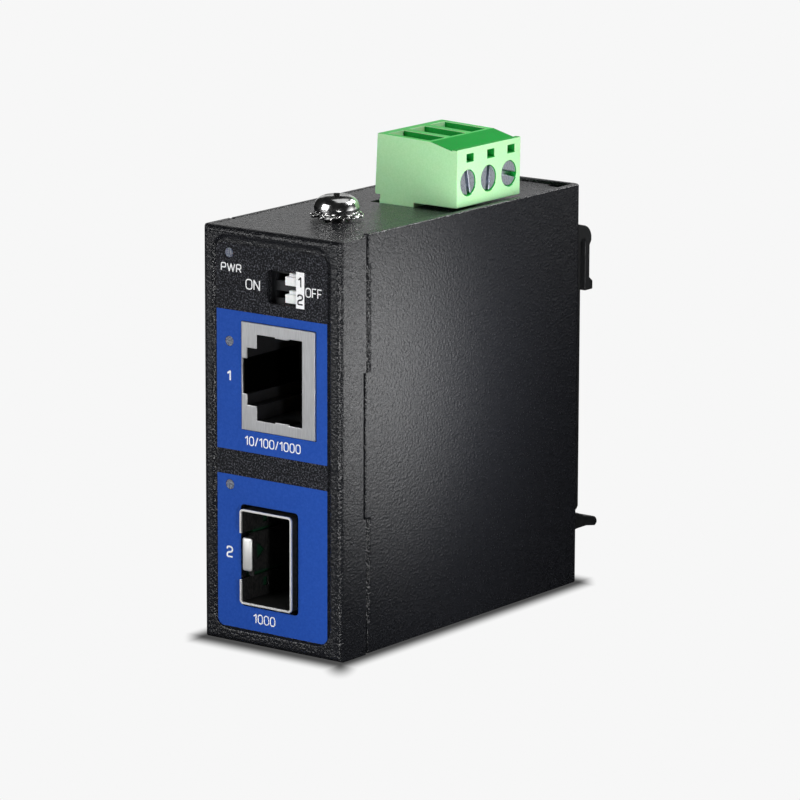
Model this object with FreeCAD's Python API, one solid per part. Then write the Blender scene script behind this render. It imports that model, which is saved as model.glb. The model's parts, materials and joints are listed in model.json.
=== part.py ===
import FreeCAD, Part
import math
import os

# Fibre media converter for a 35 mm rail, in millimetres.
# X is the width, Y runs from the front to the back, Z is up.
# The origin is the middle of the bottom face of the case.

V = FreeCAD.Vector

# Case
WIDTH = 25.0
DEPTH = 59.0
HEIGHT = 61.0
SHEET = 1.0
BEND_R = 1.06
SHEET_GAP = 0.1
FLANGE_DEPTH = 6.15
FLANGE_NOTCH = 0.6
NOTCH_Z = (20.1, HEIGHT - 19.6)
TONGUE_INSET = (4.9, 4.0)
TONGUE_Z = ((TONGUE_INSET[0], NOTCH_Z[0]), (NOTCH_Z[1], HEIGHT - TONGUE_INSET[1]))
TONGUE_REACH = 3.6
JOGGLE_RUN = 0.75
SEAM = 0.4
PLATE_BEND_R = 1.3
PLATE_FLANGE = 6.0
CHANNEL_START = 9.0
REAR_FLANGE_DEPTH = 7.0
REAR_FLANGE_HALF = 8.0
COVER_RISE = 0.35
COVER_LIFT = 0.1

# Dished front and its overlay
DISH_SIDE = 1.75
DISH_HALF = WIDTH / 2 - DISH_SIDE
DISH_Z = (1.9, HEIGHT - 1.0)
DISH_R = 3.0
DISH_DEPTH = 0.45
DISH_SLOPE = 0.5
DISH_FLOOR_R = 1.5
DISH_TOP_SLOPE = 0.8
LABEL_SIDE = 0.75
LABEL_HALF = DISH_HALF - LABEL_SIDE
LABEL_Z = (2.3, HEIGHT - 2.25)
LABEL_R = 1.1
LABEL_THICK = 0.2

# Circuit board, upright behind the ports, seen from +X
BOARD_FACE_X = -5.35
BOARD_THICK = 1.6
BOARD_BACK_X = BOARD_FACE_X - BOARD_THICK
BOARD_Y = (2.6, DEPTH - 2.4)
BOARD_Z = (2.2, HEIGHT - 2.2)
BOARD_SCREW_INSET = 3.9
BOARD_SCREW_Y = (12.0, DEPTH - 6.0)
BOARD_SCREW_AHEAD = 3.5
BOARD_SCREW_R = 1.0
BOARD_HOLE_R = 1.1
STANDOFF_R = 2.0
STANDOFF_SIDES = 6
HEAD_R = 1.9
HEAD_HIGH = 1.3
PIN_PROUD = 1.2
PIN_END_X = BOARD_BACK_X - PIN_PROUD
PIN_DRILL_R = 0.4

# Module cage
CAGE_X = (BOARD_FACE_X + 0.15, 4.25)
CAGE_BOTTOM_Z = 6.265
CAGE_HIGH = 14.07
CAGE_MID_Z = CAGE_BOTTOM_Z + CAGE_HIGH / 2
CAGE_SKIN = 0.3
CAGE_R = 0.6
CAGE_PROUD = 0.75
CAGE_BACK_ROOM = 11.1
CAGE_FIT = 0.5
TONGUE_HIGH = 5.9
TONGUE_ROOT = 9.0
TONGUE_SLOT = 0.5
LIP_START = 1.7
LIP_IN = 1.8
LIP_FRONT = 0.2
LIP_CURL = (0.42, 0.55)
TRIANGLE_Y = (3.0, 4.9)
TRIANGLE_HIGH = 2.7
CAGE_WINDOW_Y = (4.4, 5.5)
CAGE_WINDOW_Z = 4.75
CAGE_WINDOW_HIGH = 1.3
CAGE_PIN_COUNT = 3
CAGE_PIN_START = 12.0
CAGE_PIN = (0.5, 0.3)
SOCKET_LONG = 7.9
SOCKET_BACK_GAP = 2.5
SOCKET_SIDE_GAP = 0.535
SOCKET_TALL = 7.6
SOCKET_SLOT_X = (-1.9, 0.1)
SOCKET_SLOT_WALL = 1.4
SOCKET_LEAD_IN = (0.5, 0.6)
MODULE_CONTACTS = 10
MODULE_PITCH = 0.8
MODULE_CONTACT = (0.3, 0.2)
MODULE_TAILS = (0.5, 1.1)
MODULE_FOOT = 0.5

# Option switch
SWITCH_MID_Z = HEIGHT - 7.75
SWITCH_PITCH = 2.54
KNOB_X = (1.95, 4.15)
KNOB_HIGH = 1.8
KNOB_PROUD = 1.0
KNOB_LEDGE = 0.25
KNOB_STEP = 0.54
KNOB_TRAVEL = 2.2
KNOB_FIT = 0.1
SWITCH_SLOT_X = (-0.82, 4.44)
SWITCH_SLOT_R = 0.7
SWITCH_SLOT_GAP = 0.28
SWITCH_SLOT_Z = (SWITCH_MID_Z - (SWITCH_PITCH + KNOB_HIGH) / 2 - SWITCH_SLOT_GAP,
                 SWITCH_MID_Z + (SWITCH_PITCH + KNOB_HIGH) / 2 + SWITCH_SLOT_GAP)
SWITCH_FACE_Y = 1.9
SWITCH_BODY_X = (-3.3, 6.6)
SWITCH_BODY_DEEP = 4.4
SWITCH_BODY_WALL = 1.08
SWITCH_WALL = 0.8
SWITCH_LEAD = (0.3, 0.5)
SWITCH_LEAD_Y = (0.9, 3.4)

# Copper jack, placed in the height that the cage and the switch leave
JACK_X = (BOARD_FACE_X, 7.98)
JACK_HIGH = 15.75
JACK_SHARE = 0.7856
JACK_SPARE = SWITCH_SLOT_Z[0] - CAGE_BOTTOM_Z - CAGE_HIGH - JACK_HIGH
JACK_MID_Z = CAGE_BOTTOM_Z + CAGE_HIGH + JACK_SPARE * JACK_SHARE + JACK_HIGH / 2
JACK_DEEP = 21.0
JACK_SKIN = 0.25
JACK_FIT = 0.08
INSERT_FIT = 0.02
MOUTH_X = (-2.56, 5.64)
MOUTH_HIGH = 12.55
MOUTH_FIT = 0.1
KEY_STEPS = ((-4.3, 8.35), (-5.1, 5.16))
MOUTH_DEEP = 13.0
JACK_TAB_X = (0.75, 3.25)
JACK_TAB_LIP = 0.2
JACK_TAB_DEEP = 2.5
CONTACT_COUNT = 8
CONTACT_PITCH = 1.02
CONTACT_WIDE = 0.45
CONTACT_THICK = 0.3
CONTACT_SLOT = 0.66
CONTACT_SLOT_START = 2.3
CONTACT_SINK = 0.55
CONTACT_REACH = 2.2
CONTACT_NOSE = (9.0, 9.4)
CONTACT_START = (2.6, 3.4)
TAIL_Y = 17.5
TAIL_ROOM = 1.5

# Status lamps
LAMP_X = -7.68
LAMP_Z = (HEIGHT - 3.67, JACK_MID_Z + 4.69, CAGE_MID_Z + 10.11)
LAMP_D = 1.5
LAMP_FIT = 0.05
LAMP_COLLAR = (0.9, 0.6)
LAMP_CHIP = (1.3, 1.1, 2.6)
LAMP_GAP = 0.05

# Places along the top plate, from the front; the plug takes its share of the depth
GROUND_Y = 14.9
POLE_START = 20.95
POLE_SHARE = 0.28
POLE_MID_Y = POLE_START + POLE_SHARE * DEPTH

# Plug and header, three poles
POLES = 3
POLE_PITCH = 5.08
PLUG_ENDS = 0.46
PLUG_LONG = POLES * POLE_PITCH + PLUG_ENDS
PLUG_LEFT = -3.9
PLUG_RIGHT = 11.05
PLUG_LIFT = 0.5
PLUG_BASE_Z = HEIGHT + PLUG_LIFT
PLUG_TOP_Z = PLUG_BASE_Z + 9.7
PLUG_EDGE_Z = PLUG_BASE_Z + 8.6
PLUG_RIDGE_X = 6.2
PLUG_RIDGE_DROP = 0.35
PLUG_LIP = 0.95
PLUG_LIP_STEP = 0.25
PLUG_LEAN = (0.45, 0.1)
PLUG_STEP = 0.9
PLUG_STEP_SLOPE = 0.25
TONGUE_X = (PLUG_LEFT, 3.2)
TONGUE_LONG = 10.2
HEADER_FIT = 0.15
HEADER_WALL = 1.2
HEADER_FLOOR = 2.0
SEAT_GAP = 0.3
SLOT_FIT = 0.4
SCREW_Z = PLUG_BASE_Z + 3.5
ENTRY_X = (-2.2, 5.5)
ENTRY_WIDE = 3.9
CHAMBER_X = (-0.1, 8.5)
CHAMBER_WIDE = 4.5
CHAMBER_Z = (PLUG_BASE_Z + 0.5, PLUG_BASE_Z + 5.8)
CLAMP_X = (0.2, 6.3)
CLAMP_WIDE = 4.2
CLAMP_Z = (PLUG_BASE_Z + 1.55, PLUG_BASE_Z + 5.5)
CLAMP_WALL = 0.9
CLAMP_SIDE = 0.5
CLAMP_SCREW_R = 1.45
CLAMP_HEAD_R = 1.85
CLAMP_HEAD_LONG = 1.7
CLAMP_HEAD_SUNK = 0.25
SCREW_FIT = 0.05
DRIVER_SLOT = (0.7, 1.0)
DRIVER_ANGLES = (28.0, 112.0, 68.0)
TEST_HOLE = (1.85, 1.2, 2.6)
TEST_HOLE_Z = PLUG_BASE_Z + 7.1
TEST_HOLE_SHIFT = 0.45
BAR_X = (4.2, 5.0)
BAR_WIDE = 2.2
STRIP_THICK = 0.6
STRIP_LIFT = 0.1
SOCKET_X = -0.3
SOCKET_OUT = 2.0
SOCKET_WALL = 0.4
SOCKET_ROOM = (1.3, 0.8)
SOCKET_ROOF = 0.5
PIN_SIDE = 1.0
HEADER_DRILL_R = 0.75
PIN_TOP_Z = PLUG_BASE_Z - 4.0
PIN_DROP = 2.3
PIN_BEND_Z = PLUG_BASE_Z - TONGUE_LONG - SEAT_GAP - HEADER_FLOOR - PIN_DROP

# Parts on the board: height off the board, length along Y, length along Z.
# Leads are their count on each side, their pitch and how far they reach.
TRANSFORMER = (5.6, 9.6, 12.6)
TRANSFORMER_LEADS = (8, 1.27, 1.2)
CHIP = (1.2, 9.0, 9.0)
CHIP_LEADS = (10, 0.8, 0.9)
MEMORY = (1.1, 4.4, 3.0)
MEMORY_LEADS = (4, 0.65, 0.9)
REGULATOR = (1.5, 4.0, 3.6)
REGULATOR_LEADS = (3, 1.27, 1.0)
DIODE = (2.3, 4.3, 3.6)
DIODE_LEADS = (1, 4.0, 0.7)
LEAD_THICK = 0.2
LEAD_SHARE = 0.4
FUSE = (1.6, 6.1, 3.2)
CRYSTAL = (1.1, 3.2, 2.5)
CERAMIC = (0.8, 1.2, 2.0)
CERAMIC_ROW = (7, 2.4, 16.0)
RESISTOR = (0.45, 0.8, 1.6)
RESISTOR_ROWS = ((4, 1.8, 5.0), (4, 1.8, 33.5))
FUSE_START = 11.8
CRYSTAL_START = 18.5
INDUCTOR = (3.6, 7.2, 7.2)
INDUCTOR_R = 1.4
CAN_R = 3.15
CAN_HIGH = 7.6
CAN_BASE = (0.8, 0.15)
PART_GAP = 0.6
ROW_LIFT = 0.4

# Ground screw
GROUND_X = 0.4
GROUND_R = 1.95
GROUND_LONG = 7.0
GROUND_HEAD_R = 3.33
GROUND_HEAD_HIGH = 2.6
GROUND_CHAMFER = 0.3
GROUND_SHOULDER = ((0.0, 1.5), (0.2, 2.15), (0.9, 2.5))
GROUND_TURN = 37.0
GROUND_COLLAR = (3.2, 1.7)
WASHER_FIT = 0.15
WASHER_R = 3.95
WASHER_RIM = 2.9
WASHER_THICK = 0.5
WASHER_LIFT = 0.35
WASHER_TEETH = 12
WASHER_TWIST = 28.0
WASHER_TOOTH = 1.1
TOOTH_ROOT = 0.35
TOOTH_SHARE = 0.8
CROSS = (0.9, 3.9, 1.5)
CROSS_FLOOR = 1.56
CROSS_EDGE = 0.1

# Rail clip
RAIL_WIDE = 35.0
RAIL_THICK = 1.0
RAIL_FIT = 0.12
CLIP_HALF = 10.0
CLIP_PLATE = 3.6
CLIP_PLATE_EDGE = 0.5
CLIP_BOTTOM_Z = 10.35
RAIL_BOTTOM_Z = 10.6
RAIL_TOP_Z = RAIL_BOTTOM_Z + RAIL_WIDE
CLIP_TOP_Z = RAIL_TOP_Z + 9.3
HOOK_LEG = 1.15
HOOK_TIP_Z = RAIL_TOP_Z - 1.6
HOOK_FOOT = 0.85
HOOK_FOOT_HIGH = 1.3
HOOK_FOOT_SLOPE = 0.65
HOOK_ROOF_Z = RAIL_TOP_Z + 6.4
HOOK_ROOF_R = 0.6
HOOK_BACK = 0.45
HOOK_BACK_SLOPE = 0.7
HOOK_CREST = (3.0, 0.45)
RIB_X = (2.5, 3.8)
LATCH_HALF = 4.5
LATCH_THICK = 1.8
LATCH_FIT = 0.1
LATCH_TOP_Z = 33.0
LATCH_OVERLAP = 1.4
LIP_ROOT_Z = (7.1, 9.95)
LIP_LONG = 8.7
LIP_DROP = 0.2
LIP_HOLLOW = 2.7
LIP_NOSE = 1.0
LIP_TIP_HIGH = 1.35
LIP_SLOPE = 3.3
LIP_BEND_HIGH = 1.9
NOSE_FLAT = 0.5
CHANNEL_TOP_Z = LATCH_TOP_Z + 1.0
WINDOW_HALF = 1.75
WINDOW_Z = (17.0, 30.0)
WINDOW_PAST = 0.5
POST_HALF = 1.3
POST_HIGH = 2.2
SPRING_R = 1.2
SPRING_WIRE = 0.2
SPRING_TURNS = 5
SPRING_STEPS = 16
SPRING_END_GAP = 0.1
CLIP_SCREW_X = 7.3
CLIP_SCREW_Z = (18.0, 38.0)
SMALL_SCREW_R = 1.25
SMALL_HEAD_R = 2.2
SMALL_DRIVE = (2.4, 0.5, 0.6)
COVER_SCREW_INSET = 3.3
SCREW_PAST = 0.6

FRONT = -DEPTH / 2
BACK = DEPTH / 2
PLATE_HALF = WIDTH / 2 - SHEET - SHEET_GAP
CHASSIS_BACK = BACK - SHEET - SHEET_GAP
MARGIN = 5.0
SLIVER = 0.01
ROUND_FLATS = 20
SMALL_FLATS = 10
TINY_FLATS = 6


def at(depth):
    """Y of a point so far behind the front face."""
    return FRONT + depth


def block(x, y, z):
    return Part.makeBox(x[1] - x[0], y[1] - y[0], z[1] - z[0], V(x[0], y[0], z[0]))


def about(middle, size):
    return (middle - size / 2, middle + size / 2)


def rod(start, direction, radius, length):
    return Part.makeCylinder(radius, length, V(*start), V(*direction))


def corners_around(start, direction, radius, count):
    """Even corners on the radius, square to the direction."""
    axis = V(*direction)
    across = V(direction[1], direction[2], direction[0])
    beside = axis.cross(across)
    turns = [2 * math.pi * (k + 0.5) / count for k in range(count)]
    return [V(*start) + (across * math.cos(a) + beside * math.sin(a)) * radius for a in turns]


def patch(corners):
    return Part.Face(Part.makePolygon(corners + corners[:1]))


def skin(rings):
    """A solid with flat facets from ring to ring."""
    faces = [patch(rings[0]), patch(rings[-1])]
    for one, other in zip(rings, rings[1:]):
        for k in range(len(one)):
            faces.append(patch([one[k - 1], one[k], other[k]]))
            faces.append(patch([one[k - 1], other[k], other[k - 1]]))
    return Part.Solid(Part.Shell(faces))


def flats(start, direction, radius, length, count):
    """A small pin with flat sides."""
    return patch(corners_around(start, direction, radius, count)).extrude(V(*direction) * length)


def drill(start, direction, radius, length, count):
    """A small hole with flat sides, all of them outside the radius."""
    return flats(start, direction, radius / math.cos(math.pi / count), length, count)


def place(plane, a, b, c):
    if plane == "yz":
        return V(c, a, b)
    if plane == "xz":
        return V(a, c, b)
    return V(a, b, c)


def outline(points, plane, level):
    """A closed wire. A pair of points is an arc through the first to the second."""
    edges = []
    first = place(plane, *points[0], level)
    here = first
    for item in points[1:]:
        if isinstance(item[0], tuple):
            middle = place(plane, *item[0], level)
            there = place(plane, *item[1], level)
            edges.append(Part.Arc(here, middle, there).toShape())
        else:
            there = place(plane, *item, level)
            edges.append(Part.LineSegment(here, there).toShape())
        here = there
    if here.distanceToPoint(first) > SLIVER:
        edges.append(Part.LineSegment(here, first).toShape())
    return Part.Wire(edges)


def prism(points, plane, span):
    face = Part.Face(outline(points, plane, span[0]))
    return face.extrude(place(plane, 0.0, 0.0, span[1] - span[0]))


def rounded(x, z, radius, y):
    """A block with its four edges along Y rounded."""
    solid = block(x, y, z)
    span = y[1] - y[0]
    edges = [e for e in solid.Edges if abs(e.BoundBox.YLength - span) < SLIVER]
    return solid.makeFillet(radius, edges)


def union(shapes):
    return shapes[0].multiFuse(shapes[1:]).removeSplitter()


def mirror_x(shape):
    return shape.mirror(V(0, 0, 0), V(1, 0, 0))


def both_sides(shape):
    return [shape, mirror_x(shape)]


def row(middle, count, pitch):
    return [middle + pitch * (k - (count - 1) / 2) for k in range(count)]


def pole_ys():
    return row(at(POLE_MID_Y), POLES, POLE_PITCH)


# Openings in the front, cut through the sheet and the overlay alike

def jack_z():
    return about(JACK_MID_Z, JACK_HIGH)


def cage_z():
    return about(CAGE_MID_Z, CAGE_HIGH)


def front_cuts():
    through = (FRONT - MARGIN, FRONT + SHEET + DISH_DEPTH + SLIVER)
    low, high = jack_z()
    jack = block((JACK_X[0] - JACK_FIT, JACK_X[1] + JACK_FIT), through, (low - JACK_FIT, high + JACK_FIT))
    low, high = cage_z()
    cage_x = (CAGE_X[0] - CAGE_FIT, CAGE_X[1] + CAGE_FIT)
    cage = rounded(cage_x, (low - CAGE_FIT, high + CAGE_FIT), CAGE_R, through)
    switch = rounded(SWITCH_SLOT_X, SWITCH_SLOT_Z, SWITCH_SLOT_R, through)
    square_end = block((SWITCH_SLOT_X[1] - SWITCH_SLOT_R, SWITCH_SLOT_X[1]), through, SWITCH_SLOT_Z)
    lamps = [drill((LAMP_X, FRONT - MARGIN, z), (0, 1, 0), LAMP_D / 2, 2 * MARGIN, ROUND_FLATS) for z in LAMP_Z]
    return [jack, cage, switch, square_end] + lamps


# Chassis: front, top, bottom and narrow side flanges, one folded sheet

def dish(y):
    """The shallow dish of the front as a solid, its mouth at y."""
    def ring(half, z, radius, level):
        low, high = z
        k = radius * (1 - math.sqrt(0.5))
        return outline([
            (-half + radius, low),
            (half - radius, low), ((half - k, low + k), (half, low + radius)),
            (half, high - radius), ((half - k, high - k), (half - radius, high)),
            (-half + radius, high), ((-half + k, high - k), (-half, high - radius)),
            (-half, low + radius), ((-half + k, low + k), (-half + radius, low)),
        ], "xz", level)
    mouth = ring(DISH_HALF, DISH_Z, DISH_R, y)
    floor_z = (DISH_Z[0] + DISH_SLOPE / 2, DISH_Z[1] - DISH_TOP_SLOPE)
    floor = ring(DISH_HALF - DISH_SLOPE, floor_z, DISH_FLOOR_R, y + DISH_DEPTH)
    return Part.makeLoft([mouth, floor], True, True)


def plate_channel(top):
    """The rear stretch of the top or bottom plate with its side flanges and rear flange."""
    r = PLATE_BEND_R
    k = r * (1 - math.sqrt(0.5))
    inner = PLATE_HALF - SHEET
    section = [
        (-PLATE_HALF, HEIGHT - PLATE_FLANGE), (-PLATE_HALF, HEIGHT - r),
        ((-PLATE_HALF + k, HEIGHT - k), (-PLATE_HALF + r, HEIGHT)),
        (PLATE_HALF - r, HEIGHT),
        ((PLATE_HALF - k, HEIGHT - k), (PLATE_HALF, HEIGHT - r)),
        (PLATE_HALF, HEIGHT - PLATE_FLANGE), (inner, HEIGHT - PLATE_FLANGE),
        (inner, HEIGHT - SHEET), (-inner, HEIGHT - SHEET), (-inner, HEIGHT - PLATE_FLANGE),
    ]
    end = CHASSIS_BACK - 2 * SHEET
    channel = prism(section, "xz", (at(CHANNEL_START), end))
    k = BEND_R * (1 - math.sqrt(0.5))
    fold = prism([
        (end, HEIGHT - SHEET), (end, HEIGHT), (CHASSIS_BACK - BEND_R, HEIGHT),
        ((CHASSIS_BACK - k, HEIGHT - k), (CHASSIS_BACK, HEIGHT - BEND_R)),
        (CHASSIS_BACK, HEIGHT - REAR_FLANGE_DEPTH),
        (CHASSIS_BACK - SHEET, HEIGHT - REAR_FLANGE_DEPTH),
        (CHASSIS_BACK - SHEET, HEIGHT - SHEET),
    ], "yz", (-REAR_FLANGE_HALF, REAR_FLANGE_HALF))
    screw = (0, 0, HEIGHT - COVER_SCREW_INSET)
    hole = drill(screw, (0, 1, 0), SMALL_SCREW_R + SCREW_FIT, DEPTH, SMALL_FLATS)
    plate = union([channel, fold]).cut(hole)
    if top:
        return plate
    return plate.mirror(V(0, 0, HEIGHT / 2), V(0, 0, 1))


def chassis():
    front = block((-WIDTH / 2, WIDTH / 2), (FRONT, at(CHANNEL_START)), (0, HEIGHT))
    front = front.makeFillet(BEND_R, [e for e in front.Edges if e.BoundBox.YMax < FRONT + SLIVER])
    hollow = block((-WIDTH / 2 + SHEET, WIDTH / 2 - SHEET), (FRONT + SHEET, BACK), (SHEET, HEIGHT - SHEET))
    trims = []
    for side in (PLATE_HALF, -WIDTH / 2 - MARGIN):
        x = (side, side + WIDTH / 2 + MARGIN - PLATE_HALF)
        trims.append(block(x, (at(FLANGE_DEPTH), BACK), (-MARGIN, HEIGHT + MARGIN)))
        trims.append(block(x, (at(FLANGE_DEPTH - FLANGE_NOTCH), BACK), NOTCH_Z))
    for x in ((PLATE_HALF, WIDTH / 2 - SHEET), (-WIDTH / 2 + SHEET, -PLATE_HALF)):
        trims.append(block(x, (FRONT + 2 * BEND_R, BACK), (-MARGIN, HEIGHT + MARGIN)))
    folded = front.cut([hollow] + trims)
    collar = rod((GROUND_X, at(GROUND_Y), HEIGHT - SHEET), (0, 0, -1), *GROUND_COLLAR)
    body = union([folded, dish(FRONT + SHEET), plate_channel(True), plate_channel(False), collar])
    slot_y = about(at(POLE_MID_Y), PLUG_LONG + 2 * SLOT_FIT)
    slot = block((TONGUE_X[0] - SLOT_FIT, TONGUE_X[1] + SLOT_FIT), slot_y, (HEIGHT - MARGIN, HEIGHT + MARGIN))
    ground = (GROUND_X, at(GROUND_Y), HEIGHT + MARGIN)
    tapped = drill(ground, (0, 0, -1), GROUND_R + SCREW_FIT, 3 * MARGIN, SMALL_FLATS)
    board_holes = [
        drill((-WIDTH / 2, y, z), (1, 0, 0), BOARD_SCREW_R + SCREW_FIT, BOARD_BACK_X + WIDTH / 2, SMALL_FLATS)
        for y, z in board_screw_places()
    ]
    return body.cut([dish(FRONT), slot, tapped] + front_cuts() + board_holes)


# Cover: left side, back and right side, one folded sheet

def cover_tongue(z):
    """The front edge of a side wall, stepped inwards to pass behind the flange."""
    outer = WIDTH / 2
    step = SHEET + SHEET_GAP
    start = at(FLANGE_DEPTH + SHEET)
    tip = at(FLANGE_DEPTH - TONGUE_REACH)
    return prism([
        (outer, start), (outer - step, start - JOGGLE_RUN), (outer - step, tip),
        (outer - step - SHEET, tip), (outer - step - SHEET, start - JOGGLE_RUN / 2),
        (outer - SHEET, start + JOGGLE_RUN / 2), (outer, start + JOGGLE_RUN / 2),
    ], "xy", z)


def clip_screw_places():
    return [(x, z) for x in (-CLIP_SCREW_X, CLIP_SCREW_X) for z in CLIP_SCREW_Z]


def cover_screw_places():
    return [(0, COVER_SCREW_INSET), (0, HEIGHT - COVER_SCREW_INSET)]


def countersink(x, z, y, grow):
    """A screw's cone with its flat face at y, made larger by grow for its hole."""
    deep = SMALL_HEAD_R - SMALL_SCREW_R
    wide = corners_around((x, y, z), (0, -1, 0), SMALL_HEAD_R + grow, ROUND_FLATS)
    narrow = corners_around((x, y - deep, z), (0, -1, 0), SMALL_SCREW_R + grow, ROUND_FLATS)
    return skin([wide, narrow])


def cover():
    z = (COVER_LIFT, HEIGHT + COVER_RISE)
    edge = at(FLANGE_DEPTH - FLANGE_NOTCH + SEAM)
    outer = block((-WIDTH / 2, WIDTH / 2), (edge, BACK), z)
    outer = outer.makeFillet(BEND_R, [
        e for e in outer.Edges if e.BoundBox.YMin > BACK - SLIVER and e.BoundBox.ZLength > HEIGHT / 2])
    inside = block((-WIDTH / 2 + SHEET, WIDTH / 2 - SHEET), (FRONT, BACK - SHEET), (-MARGIN, HEIGHT + MARGIN))
    trims = [inside]
    across = (-WIDTH, WIDTH)
    for low, high in ((-MARGIN, NOTCH_Z[0]), (NOTCH_Z[1], HEIGHT + MARGIN)):
        trims.append(block(across, (FRONT, at(FLANGE_DEPTH + SEAM)), (low, high)))
    for span in TONGUE_Z:
        trims.append(block(across, (FRONT, at(FLANGE_DEPTH + SHEET)), span))
    walls = outer.cut(trims)
    tongues = [piece for span in TONGUE_Z for piece in both_sides(cover_tongue(span))]
    body = union([walls] + tongues)
    holes = []
    for x, height in cover_screw_places():
        cone = countersink(x, height, BACK, SCREW_FIT)
        holes.append(cone)
    for x, height in cover_screw_places() + clip_screw_places():
        top = (x, BACK + SLIVER, height)
        holes.append(drill(top, (0, -1, 0), SMALL_SCREW_R + SCREW_FIT, 2 * SHEET, SMALL_FLATS))
    return body.cut(holes)


def label():
    y = (FRONT + DISH_DEPTH - LABEL_THICK, FRONT + DISH_DEPTH)
    return rounded((-LABEL_HALF, LABEL_HALF), LABEL_Z, LABEL_R, y).cut(front_cuts())


def flat_screws(places, face_y, reach):
    """Countersunk screws from the back, flush with face_y and ending at reach."""
    screws = []
    for x, z in places:
        cone = countersink(x, z, face_y, 0)
        start = (x, face_y - (SMALL_HEAD_R - SMALL_SCREW_R) + SLIVER, z)
        shank = flats(start, (0, -1, 0), SMALL_SCREW_R, start[1] - reach, SMALL_FLATS)
        long, wide, sunk = SMALL_DRIVE
        y = (face_y - sunk, face_y + MARGIN)
        drive = union([
            block(about(x, long), y, about(z, wide)),
            block(about(x, wide), y, about(z, long)),
        ])
        screws.append(union([cone, shank]).cut(drive))
    return Part.makeCompound(screws)


# Copper jack: shield, moulded insert and eight sprung contacts

def mouth(grow, y):
    """The keyed hole for the plug, with its steps on the latch side."""
    pieces = [block((MOUTH_X[0] - grow, MOUTH_X[1] + grow), y, about(JACK_MID_Z, MOUTH_HIGH + 2 * grow))]
    for x, high in KEY_STEPS:
        pieces.append(block((x - grow, MOUTH_X[0] + SLIVER), y, about(JACK_MID_Z, high + 2 * grow)))
    return union(pieces)


def jack_shield():
    y = (FRONT, at(JACK_DEEP))
    box = block(JACK_X, y, jack_z())
    low, high = jack_z()
    room = block((JACK_X[0] + JACK_SKIN, JACK_X[1] - JACK_SKIN), (FRONT + JACK_SKIN, y[1] - JACK_SKIN),
                 (low + JACK_SKIN, high - JACK_SKIN))
    open_y = (at(TAIL_Y - TAIL_ROOM), y[1] - 4 * JACK_SKIN)
    open_z = (low + 4 * JACK_SKIN, high - 4 * JACK_SKIN)
    floor = block((JACK_X[0] - MARGIN, JACK_X[0] + JACK_SKIN), open_y, open_z)
    cut = box.cut([room, mouth(0, (FRONT - MARGIN, FRONT + JACK_SKIN + SLIVER)), floor])
    tab_y = (FRONT, FRONT + JACK_SKIN + JACK_TAB_DEEP)
    low, high = about(JACK_MID_Z, MOUTH_HIGH)
    tabs = [block(JACK_TAB_X, tab_y, span) for span in ((low, low + JACK_TAB_LIP), (high - JACK_TAB_LIP, high))]
    return union([cut] + tabs)


def contact_zs():
    return row(JACK_MID_Z, CONTACT_COUNT, CONTACT_PITCH)


def jack_rail_x():
    return MOUTH_X[1] + CONTACT_SINK


def jack_insert():
    low, high = jack_z()
    gap = JACK_SKIN + INSERT_FIT
    x = (JACK_X[0] + gap, JACK_X[1] - gap)
    body = block(x, (FRONT + gap, at(JACK_DEEP) - gap), (low + gap, high - gap))
    cuts = [mouth(MOUTH_FIT, (FRONT, at(MOUTH_DEEP)))]
    rail = jack_rail_x()
    side = CONTACT_SLOT / 2
    for z in contact_zs():
        slot = about(z, CONTACT_SLOT)
        cuts.append(block((MOUTH_X[1], rail + side), (at(CONTACT_SLOT_START), at(TAIL_Y) + side), slot))
        cuts.append(block((JACK_X[0], rail), about(at(TAIL_Y), CONTACT_SLOT), slot))
    return body.cut(cuts)


def jack_contacts():
    rail = jack_rail_x()
    t = CONTACT_THICK / 2
    wires = []
    for z in contact_zs():
        nose = MOUTH_X[1] - CONTACT_REACH
        profile = [
            (rail + t, at(CONTACT_START[0])), (rail + t, at(TAIL_Y) + t), (PIN_END_X, at(TAIL_Y) + t),
            (PIN_END_X, at(TAIL_Y) - t), (rail - t, at(TAIL_Y) - t), (rail - t, at(CONTACT_START[1])),
            (nose + t / 3, at(CONTACT_NOSE[1])), (nose, at(CONTACT_NOSE[0])),
        ]
        wires.append(prism(profile, "xy", about(z, CONTACT_WIDE)))
    return Part.makeCompound(wires)


# Module cage, its socket and twenty contacts

def cage_end():
    return BACK - CAGE_BACK_ROOM


def socket_y():
    end = cage_end() - SOCKET_BACK_GAP
    return (end - SOCKET_LONG, end)


def socket_z():
    low, high = cage_z()
    inset = CAGE_SKIN + SOCKET_SIDE_GAP
    return (low + inset, high - inset)


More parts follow.
